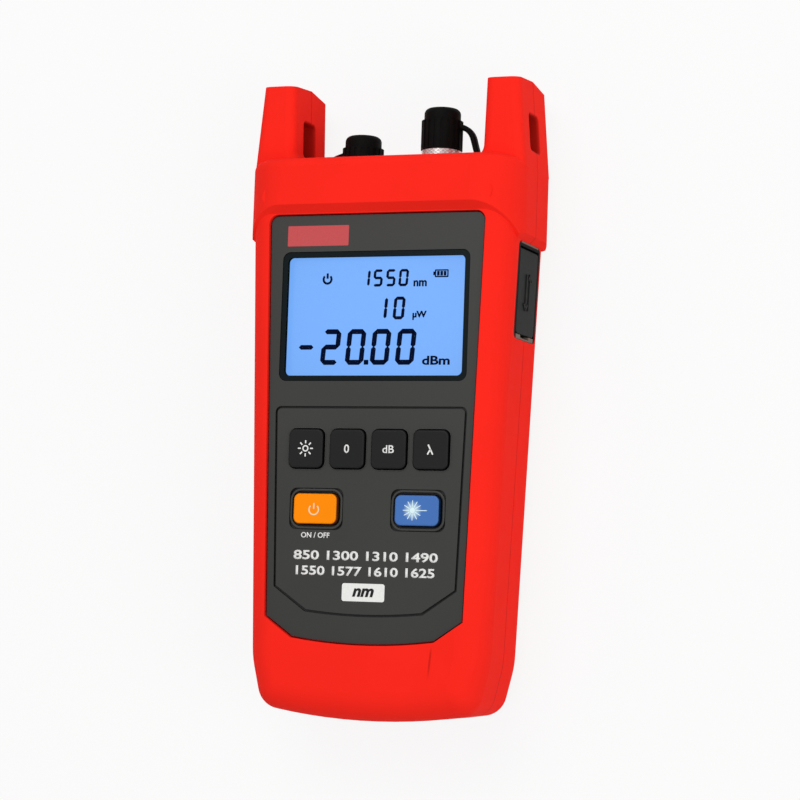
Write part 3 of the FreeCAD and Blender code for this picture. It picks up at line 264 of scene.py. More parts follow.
def clusters(node):
    """Corners of a group's separate solids, which stand in one row or in two."""
    middle, size = measure(node)
    two_rows = size.y > 20 * MM
    groups = {}
    for spot in points_of(node):
        quarter = spot.x > middle.x, two_rows and spot.y > middle.y
        groups.setdefault(quarter, []).append(spot)
    return [span(spots) for spots in groups.values()]


# Materials

def feed(socket, value):
    """Links a wire to a socket, or sets the socket's value."""
    if isinstance(value, Wire):
        value.tree.links.new(value.socket, socket)
    else:
        socket.default_value = value


def math_node(operation, reflected=False):
    """A method that adds a Math node on a wire and what it meets."""
    def add(self, *others):
        values = (*others, self) if reflected else (self, *others)
        return self.node("ShaderNodeMath", dict(enumerate(values)), {"operation": operation})
    return add


class Wire:
    """A socket of a material's nodes that takes part in Python expressions."""

    __add__ = __radd__ = math_node("ADD")
    __sub__ = math_node("SUBTRACT")
    __rsub__ = math_node("SUBTRACT", reflected=True)
    __mul__ = __rmul__ = math_node("MULTIPLY")
    __truediv__ = math_node("DIVIDE")
    __rtruediv__ = math_node("DIVIDE", reflected=True)
    __abs__ = math_node("ABSOLUTE")
    larger = math_node("MAXIMUM")
    root = math_node("SQRT")
    sine = math_node("SINE")
    angle = math_node("ARCTAN2")

    def __init__(self, tree, socket=None):
        self.tree = tree
        self.socket = socket

    def node(self, kind, sockets=None, settings=None, output=0):
        """Adds a node, makes its settings, then sets or links its sockets."""
        made = self.tree.nodes.new(kind)
        for name, value in (settings or {}).items():
            setattr(made, name, value)
        for name, value in (sockets or {}).items():
            feed(made.inputs[name], value)
        return Wire(self.tree, made.outputs[output])

    def phase(self, pitch):
        """A full turn for each pitch."""
        return self * (2 * pi / pitch)

    def rises(self, low, high):
        """0 under low, 1 over high and a smooth step between them."""
        return self.node(
            "ShaderNodeMapRange", {"Value": self, "From Min": low, "From Max": high},
            {"interpolation_type": "SMOOTHSTEP"})

    def axes(self):
        """The three numbers of a vector."""
        return [self.node("ShaderNodeSeparateXYZ", {"Vector": self}, output=axis) for axis in "XYZ"]

    def distance(self, spot):
        """How far this place is from a spot."""
        return self.node(
            "ShaderNodeVectorMath", {0: self, 1: spot}, {"operation": "DISTANCE"}, "Value")

    def noise(self, size, detail=2.0):
        """Cloudy noise whose spots are about that size."""
        return self.node(
            "ShaderNodeTexNoise", {"Vector": self, "Scale": 1 / size, "Detail": detail})

    def blend(self, first, second):
        """The first colour where this is 0 and the second where it is 1."""
        return self.node(
            "ShaderNodeMix", {"Factor": self, 6: tint(first), 7: tint(second)},
            {"data_type": "RGBA"}, 2)

    def bump(self, distance):
        """A normal from this height, in shares of distance."""
        return self.node("ShaderNodeBump", {"Height": self, "Distance": distance})


def tint(colour, share=1.0):
    """A colour with its alpha, as sockets take it, or a wire as it is."""
    if isinstance(colour, Wire):
        return colour
    return (*(channel * share for channel in colour[:3]), 1.0)


def new_material(name):
    """A material and the Object coordinates of its nodes."""
    material = bpy.data.materials.new(name)
    material.use_nodes = True
    place = Wire(material.node_tree).node("ShaderNodeTexCoord", output="Object")
    return material, place


def set_surface(material, **values):
    """Sets or links the sockets of a material's surface, named with _ for a space."""
    surface = material.node_tree.nodes["Principled BSDF"]
    for name, value in values.items():
        feed(surface.inputs[name.replace("_", " ")], value)
    return material


def moulding(place, colour, grain, clouded):
    """A mould's fine grain, its colour with faint clouds, and the waver of its roughness."""
    spark = place.noise(grain)
    cloud = place.noise(30 * MM, detail=3.0).rises(0.3, 0.7)
    shade = cloud.blend(tint(colour, clouded), colour)
    waver = (spark - 0.5) * 0.12 + (cloud - 0.5) * 0.04
    return spark, shade, waver


def moulded(name, colour, roughness=0.45, grain=0.45 * MM, gloss=0.25,
            painted_shade_below=None, fade=0.1 * MM, glow=None):
    """Moulded plastic and, where wanted, painted shade below a level and a glow round a spot."""
    material, place = new_material(name)
    spark, shade, waver = moulding(place, colour, grain, clouded=0.94)
    if painted_shade_below is not None:
        # Painted shade: below the level the colour darkens, as if shade lay in grooves and gaps.
        groove = 1 - place.axes()[2].rises(painted_shade_below - fade, painted_shade_below + fade)
        shade = groove.blend(shade, tint(colour, SHADOW))
    if glow is not None:
        spot, bright = glow
        near = 1 - place.distance(spot).rises(0.5 * MM, 3.2 * MM)
        shade = (near * 0.75).blend(shade, bright)
    return set_surface(
        material,
        Base_Color=shade,
        Roughness=roughness + waver,
        Normal=spark.bump(SPARK_RISE),
        Specular_IOR_Level=gloss,
    )


def crease_mask(across, level):
    """1 along the crease, which fades towards both of its ends."""
    run = CREASE_TO - CREASE_FROM
    way = run.normalized()
    right, up = across - CREASE_FROM.x, level - CREASE_FROM.y
    along = right * way.x + up * way.y
    aside = right * way.y - up * way.x
    fades = along.rises(0, 0.3 * run.length) * (1 - along.rises(0.5 * run.length, run.length))
    return (1 - abs(aside).rises(0.05 * MM, 0.5 * MM)) * fades


def window_mask(across, level, middle, width, height, corner, soft=0.06 * MM):
    """1 outside a window with round corners and 0 inside it, measured along two axes."""
    side = (abs(across - middle.x) - (width / 2 - corner)).larger(0.0)
    end = (abs(level - middle.y) - (height / 2 - corner)).larger(0.0)
    return (side * side + end * end).root().rises(corner - soft, corner + soft)


def seamed_red(name):
    """Matt red moulding with a parting line, a faint crease with painted shade along it, and
    painted shade in the slots of its ears.
    """
    material, place = new_material(name)
    red = colours().case_red
    spark, shade, waver = moulding(place, red, 0.45 * MM, clouded=0.96)
    across, level, out = place.axes()
    half = sizes().seam / 2
    seam = 1 - abs(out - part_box("front_shell")[0].z).rises(0.3 * half, half)
    # Painted shade along a faint crease near the foot, which the bump also dents.
    crease = crease_mask(across, level) * out.rises(30 * MM, 31 * MM)
    # Painted shade: the slots in the ears are darker, as if shaded inside.
    in_slot = 1 - window_mask(
        level, out, SLOT_MIDDLE, SLOT_HEIGHT, SLOT_DEPTH, SLOT_CORNER, soft=0.4 * MM)
    shade = in_slot.blend(shade, tint(red, 0.45))
    shade = (seam * 0.65).blend(shade, tint(red, SHADOW))
    return set_surface(
        material,
        Base_Color=(crease * 0.5).blend(shade, tint(red, 0.3)),
        Roughness=0.66 + waver,
        Normal=(spark - seam * 8 - crease * 6).bump(SPARK_RISE),
        Specular_IOR_Level=0.03,
    )


def rubbery(name, colour):
    """Dull rubber with a soft bloom."""
    material, place = new_material(name)
    bloom = place.noise(3 * MM, detail=4.0)
    return set_surface(
        material,
        Base_Color=bloom.rises(0.35, 0.75).blend(colour, tint(colour, 1.5)),
        Roughness=0.56 + (bloom - 0.5) * 0.16,
        Normal=place.noise(0.25 * MM).bump(0.008 * MM),
        Specular_IOR_Level=0.05,
    )


def metal(name, colour, roughness):
    """Bare metal with faint scratches."""
    material, place = new_material(name)
    scratches = place.noise(0.2 * MM, detail=3.0)
    return set_surface(
        material,
        Base_Color=tint(colour),
        Metallic=1.0,
        Roughness=roughness + (scratches - 0.5) * 0.15,
        Normal=scratches.bump(0.003 * MM),
    )


def turned_metal(name, node, knurl_from, knurl_to):
    """A turned port: rings left by the tool, and a diamond knurl between two levels."""
    material, place = new_material(name)
    middle, _ = measure(node)
    across, level, out = place.axes()
    turn = (out - middle.z).angle(across - middle.x) * KNURL_RIDGES
    climb = level.phase(KNURL_PITCH)
    soft = 0.2 * MM
    band = level.rises(knurl_from, knurl_from + soft) * (1 - level.rises(knurl_to - soft, knurl_to))
    knurl = (turn + climb).sine().larger((turn - climb).sine()).rises(0.1, 0.9) * band
    rings = level.phase(RING_PITCH).sine() * (1 - band)
    return set_surface(
        material,
        Base_Color=knurl.blend(tint(colours().nickel, 0.6), colours().nickel),
        Metallic=0.75,
        Roughness=0.4 - knurl * 0.12,
        Normal=(knurl * 8 + rings * 0.2).bump(0.02 * MM),
    )


def printed(name, colour, gloss=0.15):
    """Flat printing ink."""
    material, place = new_material(name)
    wear = place.noise(0.6 * MM, detail=3.0)
    return set_surface(
        material,
        Base_Color=wear.rises(0.3, 0.7).blend(tint(colour, 0.93), colour),
        Roughness=0.5 + (wear - 0.5) * 0.1,
        Specular_IOR_Level=gloss,
    )


def clear_lens(name):
    """The display's clear lens with a black printed border."""
    material, place = new_material(name)
    middle, size = measure("display_lens")
    across, level, _ = place.axes()
    border = window_mask(
        across, level, middle, size.x - 2 * LENS_BORDER, size.y - 2 * LENS_BORDER, LENS_CORNER)
    return set_surface(
        material,
        Base_Color=tint(colours().border),
        Alpha=border * 0.98 + 0.02,
        Roughness=0.2,
        Specular_IOR_Level=0.15,
    )


def lit_glass(name):
    """The display, lit from behind, a little brighter in its middle."""
    material, place = new_material(name)
    middle, size = measure("display_glass")
    across, level, _ = place.axes()
    side = (across - middle.x) / size.x
    end = (level - middle.y) / size.y
    fade = (side * side + end * end).rises(0.0, 0.5)
    return set_surface(
        material,
        Base_Color=tint(colours().ink),
        Roughness=0.3,
        Emission_Color=fade.blend(tint(colours().display, 1.03), tint(colours().display, 0.94)),
        Emission_Strength=1.0,
    )


def circuit(name):
    """Green board with copper runs under its mask."""
    material, place = new_material(name)
    across, level, _ = place.axes()
    sway = place.noise(9 * MM, detail=1.0) * 4
    runs = (across.phase(2.4 * MM) + sway).sine().rises(0.55, 0.8)
    gaps = (level.phase(17 * MM) + sway).sine().rises(-0.2, 0.2)
    copper = runs * gaps
    return set_surface(
        material,
        Base_Color=copper.blend(colours().board, tint(colours().board, 1.9)),
        Roughness=0.4 - copper * 0.08,
        Normal=copper.bump(0.03 * MM),
    )


def dress(node, material):
    """Gives a solid of the frame its finish."""
    solid = frame["nodes"][node]
    if not solid.material_slots:
        solid.data.materials.append(material)
    for slot in solid.material_slots:
        slot.material = material


# Modelling

def deselect():
    """Leaves edit mode with nothing selected."""
    if bpy.context.object and bpy.context.object.mode != "OBJECT":
        bpy.ops.object.mode_set(mode="OBJECT")
    bpy.ops.object.select_all(action="DESELECT")


def choose(*pieces):
    """Selects these pieces alone, the first of them active."""
    deselect()
    for piece in pieces:
        piece.select_set(True)
    bpy.context.view_layer.objects.active = pieces[0]


def apply_place(piece):
    """Moves a piece's place, turn and scale into its mesh."""
    choose(piece)
    bpy.ops.object.transform_apply(location=True, rotation=True, scale=True)
    return piece


def begin(add, scale=(1, 1, 1), **place):
    """A piece that starts from a primitive, scaled and put in its place."""
    deselect()
    add(**place)
    piece = bpy.context.object
    piece.scale = scale
    return apply_place(piece)


@contextmanager
def editing(piece):
    """Edit mode, which starts with all of a piece selected."""
    choose(piece)
    bpy.ops.object.mode_set(mode="EDIT")
    bpy.ops.mesh.select_mode(type="VERT")
    bpy.ops.mesh.select_all(action="SELECT")
    yield
    bpy.ops.object.mode_set(mode="OBJECT")


def pick(piece, wanted):
    """In edit mode, selects the points that are wanted and what lies between them."""
    bpy.ops.mesh.select_all(action="DESELECT")
    mesh = bmesh.from_edit_mesh(piece.data)
    for point in mesh.verts:
        point.select = wanted(point.co)
    mesh.select_flush(True)
    bmesh.update_edit_mesh(piece.data)


def push(x=0.0, y=0.0, z=0.0):
    """Extrudes what is selected."""
    bpy.ops.mesh.extrude_region_move(TRANSFORM_OT_translate={"value": (x, y, z)})


def close_up():
    """In edit mode, merges doubles and turns faces outwards."""
    bpy.ops.mesh.select_all(action="SELECT")
    bpy.ops.mesh.remove_doubles(threshold=0.0005 * MM)
    bpy.ops.mesh.normals_make_consistent(inside=False)


def thicken(piece, rise):
    """Gives a flat piece its thickness, upwards."""
    with editing(piece):
        push(z=rise)
        close_up()
    return piece


def join(pieces):
    """Joins pieces into the first of them."""
    choose(*pieces)
    if len(pieces) > 1:
        bpy.ops.object.join()
    return pieces[0]


def copies(first, spots):
    """Copies of a piece at some spots, each with its own mesh, joined in place of the first."""
    made = []
    for spot in spots:
        piece = first.copy()
        piece.data = first.data.copy()
        bpy.context.collection.objects.link(piece)
        piece.location = spot
        made.append(apply_place(piece))
    bpy.data.objects.remove(first)
    return join(made)


def soften(piece, width):
    """Rounds the sharp edges of a piece."""
    choose(piece)
    round_edges = piece.modifiers.new("round_edges", "BEVEL")
    round_edges.width = width
    round_edges.segments = 3
    round_edges.limit_method = "ANGLE"
    bpy.ops.object.modifier_apply(modifier=round_edges.name)
    bpy.ops.object.shade_smooth_by_angle(angle=radians(40))
    return piece


def settle(piece, name, material, body=None):
    """Names and finishes a piece, and lets it ride on a body."""
    apply_place(piece)
    piece.name = name
    piece.data.name = name
    piece.data.materials.clear()
    piece.data.materials.append(material)
    if body:
        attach(piece, body)
    return piece


def flat_plate(middle, width, height, corner):
    """A flat plate with round corners."""
    plate = begin(bpy.ops.mesh.primitive_plane_add, (width, height, 1), size=1, location=middle)
    with editing(plate):
        bpy.ops.mesh.bevel(offset=corner, segments=6, affect="VERTICES")
    return plate


def flat_frame(middle, width, height, corner, band):
    """A flat frame with round corners, measured over its outside."""
    plate = flat_plate(middle, width, height, corner)
    with editing(plate):
        bpy.ops.mesh.inset(thickness=band)
        bpy.ops.mesh.delete(type="FACE")
    return plate


def flat_bar(middle, length, width, turn=0.0, tip=None):
    """A flat bar with pointed ends, such as a figure's segment or a ray."""
    point = width / 2 if tip is None else tip
    straight = length - 2 * point
    bar = begin(bpy.ops.mesh.primitive_plane_add, (straight, width, 1), size=1)
    with editing(bar):
        for way in (-1, 1):
            pick(bar, lambda spot: spot.x * way > 0.49 * straight)
            push(x=way * point)
            bpy.ops.mesh.merge(type="CENTER")
    bar.rotation_euler.z = turn
    bar.location = middle
    return apply_place(bar)


def flat_ring(middle, radius, band, gap=0.0):
    """A flat ring, open at its top by an angle on each side."""
    ring = begin(
        bpy.ops.mesh.primitive_circle_add,
        vertices=SIDES_OF_ROUND, radius=radius, fill_type="NOTHING")
    inner = 1 - band / radius
    with editing(ring):
        bpy.ops.mesh.extrude_region_move()
        bpy.ops.transform.resize(value=(inner, inner, 1), center_override=(0, 0, 0))
        if gap:
            pick(ring, lambda spot: spot.y > spot.length * cos(gap))
            bpy.ops.mesh.delete(type="VERT")
    ring.location = middle
    return apply_place(ring)


def flat_disc(middle, radius):
    """A flat disc with a ring of faces round a smaller one."""
    disc = begin(
        bpy.ops.mesh.primitive_circle_add,
        vertices=SIDES_OF_ROUND, radius=radius, fill_type="NGON", location=middle)
    with editing(disc):
        bpy.ops.mesh.inset(thickness=radius / 4)
    return disc


def unfold(letters):
    """Closes the slivers at which bold letters fold back over themselves."""
    with editing(letters):
        bpy.ops.mesh.select_mode(type="FACE")
        bpy.ops.mesh.select_all(action="DESELECT")
        mesh = bmesh.from_edit_mesh(letters.data)
        inner = [edge for edge in mesh.edges if len(edge.link_faces) == 2]
        folds = [edge for edge in inner if not edge.is_contiguous]
        for edge in folds:
            min(edge.link_faces, key=lambda face: face.calc_area()).select = True
        bmesh.update_edit_mesh(letters.data)
        if folds:
            bpy.ops.mesh.merge(type="COLLAPSE")


def flat_words(words, middle, height, width=None, bold=0.0, slant=0.0):
    """Plain letters fitted to a height and, where given, a width."""
    deselect()
    bpy.ops.object.text_add()
    text = bpy.context.object.data
    text.body = words
    text.resolution_u = 4
    text.offset = bold
    text.shear = slant
    bpy.ops.object.convert(target="MESH")
    letters = bpy.context.object
    unfold(letters)
    low, high = span(point.co for point in letters.data.vertices)
    size = high - low
    tall = height / size.y
    wide = width / size.x if width else tall
    letters.data.transform(Matrix.Translation(-(low + high) / 2))
    letters.data.transform(Matrix.Diagonal((wide, tall, 1, 1)))
    letters.location = middle
    return apply_place(letters)


def flat_ray(centre, turn, root, reach, width, tip):
    """A bar that points away from a centre, between two distances from it."""
    middle = centre + Vector((cos(turn), sin(turn), 0)) * (root + reach) / 2
    return flat_bar(middle, reach - root, width, turn, tip)


def power_sign(middle, radius, band):
    """A ring open at its top with a short bar in the opening."""
    ring = flat_ring(middle, radius, band, gap=radians(38))
    bar_at = middle + Vector((0, 0.62 * radius, 0))
    return [ring, flat_bar(bar_at, 1.05 * radius, band, pi / 2, tip=0.1 * band)]


def figures(text, corner, size, pitch, stroke, lean):
    """Seven-segment figures in a row, from the lower left corner of the first."""
    bars = []
    gap = 0.36 * stroke
    reach = size.x - stroke
    rise = (size.y - stroke) / 2
    spots = {
        "a": (reach / 2, 2 * rise, reach, 0),
        "b": (reach, 1.5 * rise, rise, pi / 2),
        "c": (reach, 0.5 * rise, rise, pi / 2),
        "d": (reach / 2, 0, reach, 0),
        "e": (0, 0.5 * rise, rise, pi / 2),
        "f": (0, 1.5 * rise, rise, pi / 2),
        "g": (reach / 2, rise, reach, 0),
    }
    for place, figure in enumerate(text):
        start = corner + Vector((place * pitch + stroke / 2, stroke / 2, 0))
        for segment in SEGMENTS[figure]:
            across, up, length, turn = spots[segment]
            middle = start + Vector((across, up, 0))
            bars.append(flat_bar(middle, length + stroke - 2 * gap, stroke, turn))
    row = join(bars)
    slant = Matrix.Identity(4)
    slant[0][1] = tan(lean)
    slant[0][3] = -corner.y * tan(lean)
    row.data.transform(slant)
    return row


# Operators

class TESTER_OT_case(bpy.types.Operator):
    """Finishes the red shells, with their parting line, and the battery door"""

    bl_idname = "tester.case"
    bl_label = "Case"

    def execute(self, context):
        red = seamed_red("moulded_red")
        for node in ("front_shell", "rear_shell", "battery_door"):
            dress(node, red)
        return {"FINISHED"}


class TESTER_OT_face(bpy.types.Operator):
    """Finishes the fascia, the keypad panel and the display"""

    bl_idname = "tester.face"
    bl_label = "Face"

    def execute(self, context):
        satin = {"roughness": 0.46, "grain": 0.3 * MM, "gloss": 0.5}
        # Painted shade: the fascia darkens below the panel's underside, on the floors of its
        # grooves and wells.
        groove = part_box("keypad_panel")[0].z + 0.3 * MM
        dress("fascia", moulded("satin_fascia", colours().fascia, painted_shade_below=groove, **satin))
        dress("keypad_panel", moulded("satin_panel", colours().panel, **satin))
        dress("display_lens", clear_lens("clear_lens"))
        dress("display_glass", lit_glass("lit_display"))
        dress("display_gasket", rubbery("gasket_black", colours().rubber))
        dress("backlight", printed("diffuser_white", colours().legend))
        return {"FINISHED"}


class TESTER_OT_keys(bpy.types.Operator):
    """Finishes the six keys and puts a thin rim round each"""

    bl_idname = "tester.keys"
    bl_label = "Keys"

    def execute(self, context):
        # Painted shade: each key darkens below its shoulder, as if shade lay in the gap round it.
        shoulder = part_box("key_power")[1].z - 0.25 * MM
        sides = {"grain": 0.25 * MM, "painted_shade_below": shoulder, "fade": 0.2 * MM}
        dark = moulded("key_black", colours().key_black, 0.4, gloss=0.1, **sides)
        for key in SMALL_KEYS:
            dress(key, dark)
        orange = moulded("key_orange", colours().key_orange, 0.5, gloss=0.06, **sides)
        dress("key_power", orange)
        glow = burst_spot(), colours().burst
        blue = moulded("key_blue", colours().key_blue, 0.45, gloss=0.15, glow=glow, **sides)
        dress("key_laser", blue)
        grey = moulded("rim_grey", colours().key_rim, 0.4)
        floor, face = (corner.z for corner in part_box("keypad_panel"))
        self.frames("key_rims", SMALL_KEYS, HOLE_GAP, sizes().rim_band,
                    face, face + sizes().rim_rise, grey)
        self.frames("key_bezels", WIDE_KEYS, sizes().bezel_gap, sizes().bezel_band,
                    floor, face + sizes().bezel_rise, grey)
        return {"FINISHED"}

    def frames(self, name, keys, gap, band, foot, top, finish):
        """A raised frame round each of some like keys, made once and copied."""
        width, height = cap_of(keys[0])
        grow = gap + band
        first = flat_frame(
            Vector(), width + 2 * grow, height + 2 * grow, KEY_CORNER + grow, band)
        soften(thicken(first, top - foot), 0.3 * min(band, top - foot))
        spots = [(*top_of(key).xy, foot) for key in keys]
        settle(copies(first, spots), name, finish, "case")


class TESTER_OT_ports(bpy.types.Operator):
    """Finishes the two turned ports and what they hold"""

    bl_idname = "tester.ports"
    bl_label = "Ports"

    def execute(self, context):
        for kind in ("laser", "detector"):
            port = f"{kind}_port"
            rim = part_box(f"{kind}_cap")[0].y
            dress(port, turned_metal(f"{kind}_nickel", port, deck_under(kind), rim))
            dress(f"{kind}_sleeve", printed(f"{kind}_ceramic", colours().legend))
            dress(f"{kind}_module", metal(f"{kind}_can", colours().steel, 0.28))
        return {"FINISHED"}


class TESTER_OT_caps(bpy.types.Operator):
    """Finishes the rubber caps and bends their tethers"""

    bl_idname = "tester.caps"
    bl_label = "Caps and tethers"

    def execute(self, context):
        rubber = rubbery("cap_rubber", colours().rubber)
        dress("laser_cap", rubber)
        self.tether("laser", 1, sizes().laser_bend, rubber)
        dress("detector_cap", rubber)
        self.tether("detector", -1, sizes().detector_bend, rubber)
        return {"FINISHED"}

    def tether(self, kind, side, bend, rubber):
        """A rounded strap from the cap's side, over a bend and down to a button in the deck."""
        node = f"{kind}_tether"
        low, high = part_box(node)
        width = high.z - low.z
        deck = deck_under(kind)
        thick = sizes().tether_thickness
        dip = sizes().tether_dip
        lean = sizes().tether_lean
        into_cap = 0.5 * MM
        root = Vector((low.x if side > 0 else high.x, high.y - thick / 2, (low.z + high.z) / 2))
        foot = Vector((stud_under(kind), deck, root.z))
        # The straight lead takes up what the bend and the leaning run leave of the way to the foot
        run = (root.y - deck - bend * (cos(dip) - sin(lean))) * tan(lean)
        bent = bend * (cos(lean) - sin(dip)) + run
        lead = (side * (foot.x - root.x) - bent) / (cos(dip) - sin(dip) * tan(lean))
        outward = Vector((side * cos(dip), -sin(dip), 0))
        inward = Vector((-side * sin(dip), -cos(dip), 0))
        hub = root + outward * lead + inward * bend
        drop = hub.y + bend * sin(lean) - deck
        strap = begin(
            bpy.ops.mesh.primitive_plane_add, (width, thick, 1),
            size=1, location=root - outward * into_cap, rotation=(0, pi / 2, -side * dip))
        with editing(strap):
            bpy.ops.mesh.bevel(offset=0.4 * thick, segments=4, affect="VERTICES")
            bpy.ops.mesh.select_all(action="SELECT")
            push(*(outward * (into_cap + lead)))
            bpy.ops.mesh.spin(
                steps=10, angle=pi / 2 - lean - dip, center=hub, axis=(0, 0, side))
            push(x=side * drop * tan(lean), y=-drop)
            bpy.ops.transform.resize(value=(1, 0, 1), center_override=foot)
            close_up()
        strap = join([strap, self.button(foot, width)])
        settle(strap, f"{kind}_strap", rubber)
        bpy.ops.object.shade_smooth_by_angle(angle=radians(40))
        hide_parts(node)
        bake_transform(strap)

    def button(self, foot, width):
        """The round foot of a tether, which covers the hole that it is pressed into."""
        tall = 0.7 * MM
        button = begin(
            bpy.ops.mesh.primitive_cylinder_add, vertices=SIDES_OF_SMALL_ROUND,
            radius=0.6 * width, depth=tall, location=foot + Vector((0, tall / 2, 0)),
            rotation=(pi / 2, 0, 0))
        return soften(button, 0.3 * tall)


class TESTER_OT_side_door(bpy.types.Operator):
    """Finishes the rubber door, its frame and the socket, and raises a sign on the door"""

    bl_idname = "tester.side_door"
    bl_label = "Side door"

    def execute(self, context):
        rubber = rubbery("door_rubber", colours().door)
        dress("usb_door", rubber)
        dress("usb_frame", self.frame_finish())
        dress("usb_socket", metal("socket_steel", colours().steel, 0.3))
        self.sign(rubber)
        return {"FINISHED"}

    def frame_finish(self):
        """Grey at the frame's ends, and dark along the door's sides, which is painted shade of the
        gap round the door, and over its upper end.
        """
        material, place = new_material("frame_grey")
        middle, size = measure("usb_door")
        soft = 0.2 * MM
        half = size.z / 2 - 1.2 * MM
        door_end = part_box("usb_door")[1].y - 0.3 * MM
        upper_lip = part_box("usb_frame")[1].y - 0.8 * MM
        _, level, out = place.axes()
        # Painted shade: beside the door the frame darkens to a dim door colour, as if the gap round
        # it lay in shade.
        beside = abs(out - middle.z).rises(half - soft, half + soft)
        under_lip = 1 - level.rises(upper_lip, upper_lip + soft)
        above = level.rises(door_end, door_end + soft) * under_lip
        grain = place.noise(0.4 * MM)
        return set_surface(
            material,
            Base_Color=beside.larger(above).blend(colours().frame, tint(colours().door, 0.4)),
            Roughness=0.6 + (grain - 0.5) * 0.1,
            Normal=grain.bump(0.01 * MM),
            Specular_IOR_Level=0.03,
        )

    def sign(self, rubber):
        """Two arrows that pass each other, raised on the door's outer face."""
        faces = frame["nodes"]["usb_door"].data.polygons
        outer = max((face for face in faces if face.normal.x > 0.9), key=lambda face: face.area)
        length = 11 * MM
        apart = 1.5 * MM
        stroke = 0.8 * MM
        head = 2.6 * MM
        sunk = 0.2 * MM
        bars = []
        for way in (-1, 1):
            shaft = Vector((way * apart, 0, 0))
            bars.append(flat_bar(shaft, length, stroke, pi / 2, tip=stroke / 8))
            for lean in (-1, 1):
                barb = shaft + Vector((lean * head / 3, way * (length / 2 - head / 3), 0))
                turn = pi / 2 + way * lean * pi / 4
                bars.append(flat_bar(barb, head, stroke, turn, tip=stroke / 8))
        sign = thicken(join(bars), sizes().sign_rise + sunk)
        middle, _ = measure("usb_door")
        centre = middle + outer.normal * ((outer.center - middle).dot(outer.normal) - sunk)
        across = Vector((0, 0, -1))
        upward = outer.normal.cross(across)
        stand = Matrix((across, upward, outer.normal)).transposed().to_4x4()
        sign.data.transform(Matrix.Translation(centre) @ stand)
        settle(sign, "door_sign", rubber, "usb_door")


class TESTER_OT_inner(bpy.types.Operator):
    """Finishes the board, the mat, the cells and what holds them"""

    bl_idname = "tester.inner"
    bl_label = "Inner pieces"

    def execute(self, context):
        dress("main_board", circuit("board_green"))
        dress("board_chips", moulded("chip_black", colours().key_black, 0.5))
        dress("keypad_mat", rubbery("mat_grey", colours().frame))
        dress("battery_cells", moulded("cell_wrap", colours().fascia, 0.3))
        dress("battery_door_seal", rubbery("seal_black", colours().rubber))
        steel = metal("contact_steel", colours().steel, 0.25)
        for node in ("battery_contacts", "battery_springs", "board_screws"):
            dress(node, steel)
        return {"FINISHED"}


class TESTER_OT_screws(bpy.types.Operator):
    """Cross-head screws in the back"""

    bl_idname = "tester.screws"
    bl_label = "Screws"

    def execute(self, context):
        steel = metal("screw_steel", colours().steel, 0.32)
        for node in ("case_screws", "battery_door_screws"):
            corners = clusters(node)
            low, high = corners[0]
            first = self.screw(high.x - low.x, high.z - low.z)
            spots = [(*((low + high) / 2).xy, low.z) for low, high in corners]
            group = copies(first, spots)
            settle(group, f"{node}_cross_head", steel, "case")
            bpy.ops.object.shade_smooth_by_angle(angle=radians(35))
            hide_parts(node)
        return {"FINISHED"}

    def screw(self, head, length):
        """A pan head that faces down, with a cross cut into it and its shank above."""
        tall = 0.38 * head
        screw = begin(
            bpy.ops.mesh.primitive_cylinder_add, vertices=SIDES_OF_SMALL_ROUND,
            radius=head / 2, depth=tall, location=(0, 0, tall / 2))
        with editing(screw):
            pick(screw, lambda spot: spot.z < tall / 2)
            bpy.ops.mesh.bevel(offset=0.1 * head, segments=4, affect="EDGES")
            pick(screw, lambda spot: spot.z > 0.99 * tall)
            bpy.ops.mesh.inset(thickness=0.25 * head)
            push(z=length - tall)
            close_up()
        for turn in (0, pi / 2):
            slot = begin(
                bpy.ops.mesh.primitive_cube_add, (0.56 * head, 0.13 * head, tall),
                size=1, rotation=(0, 0, turn))
            choose(screw)
            cross = screw.modifiers.new("cross", "BOOLEAN")
            cross.object = slot
            cross.operation = "DIFFERENCE"
            cross.solver = "EXACT"
            bpy.ops.object.modifier_apply(modifier=cross.name)
            bpy.data.objects.remove(slot)
        return screw


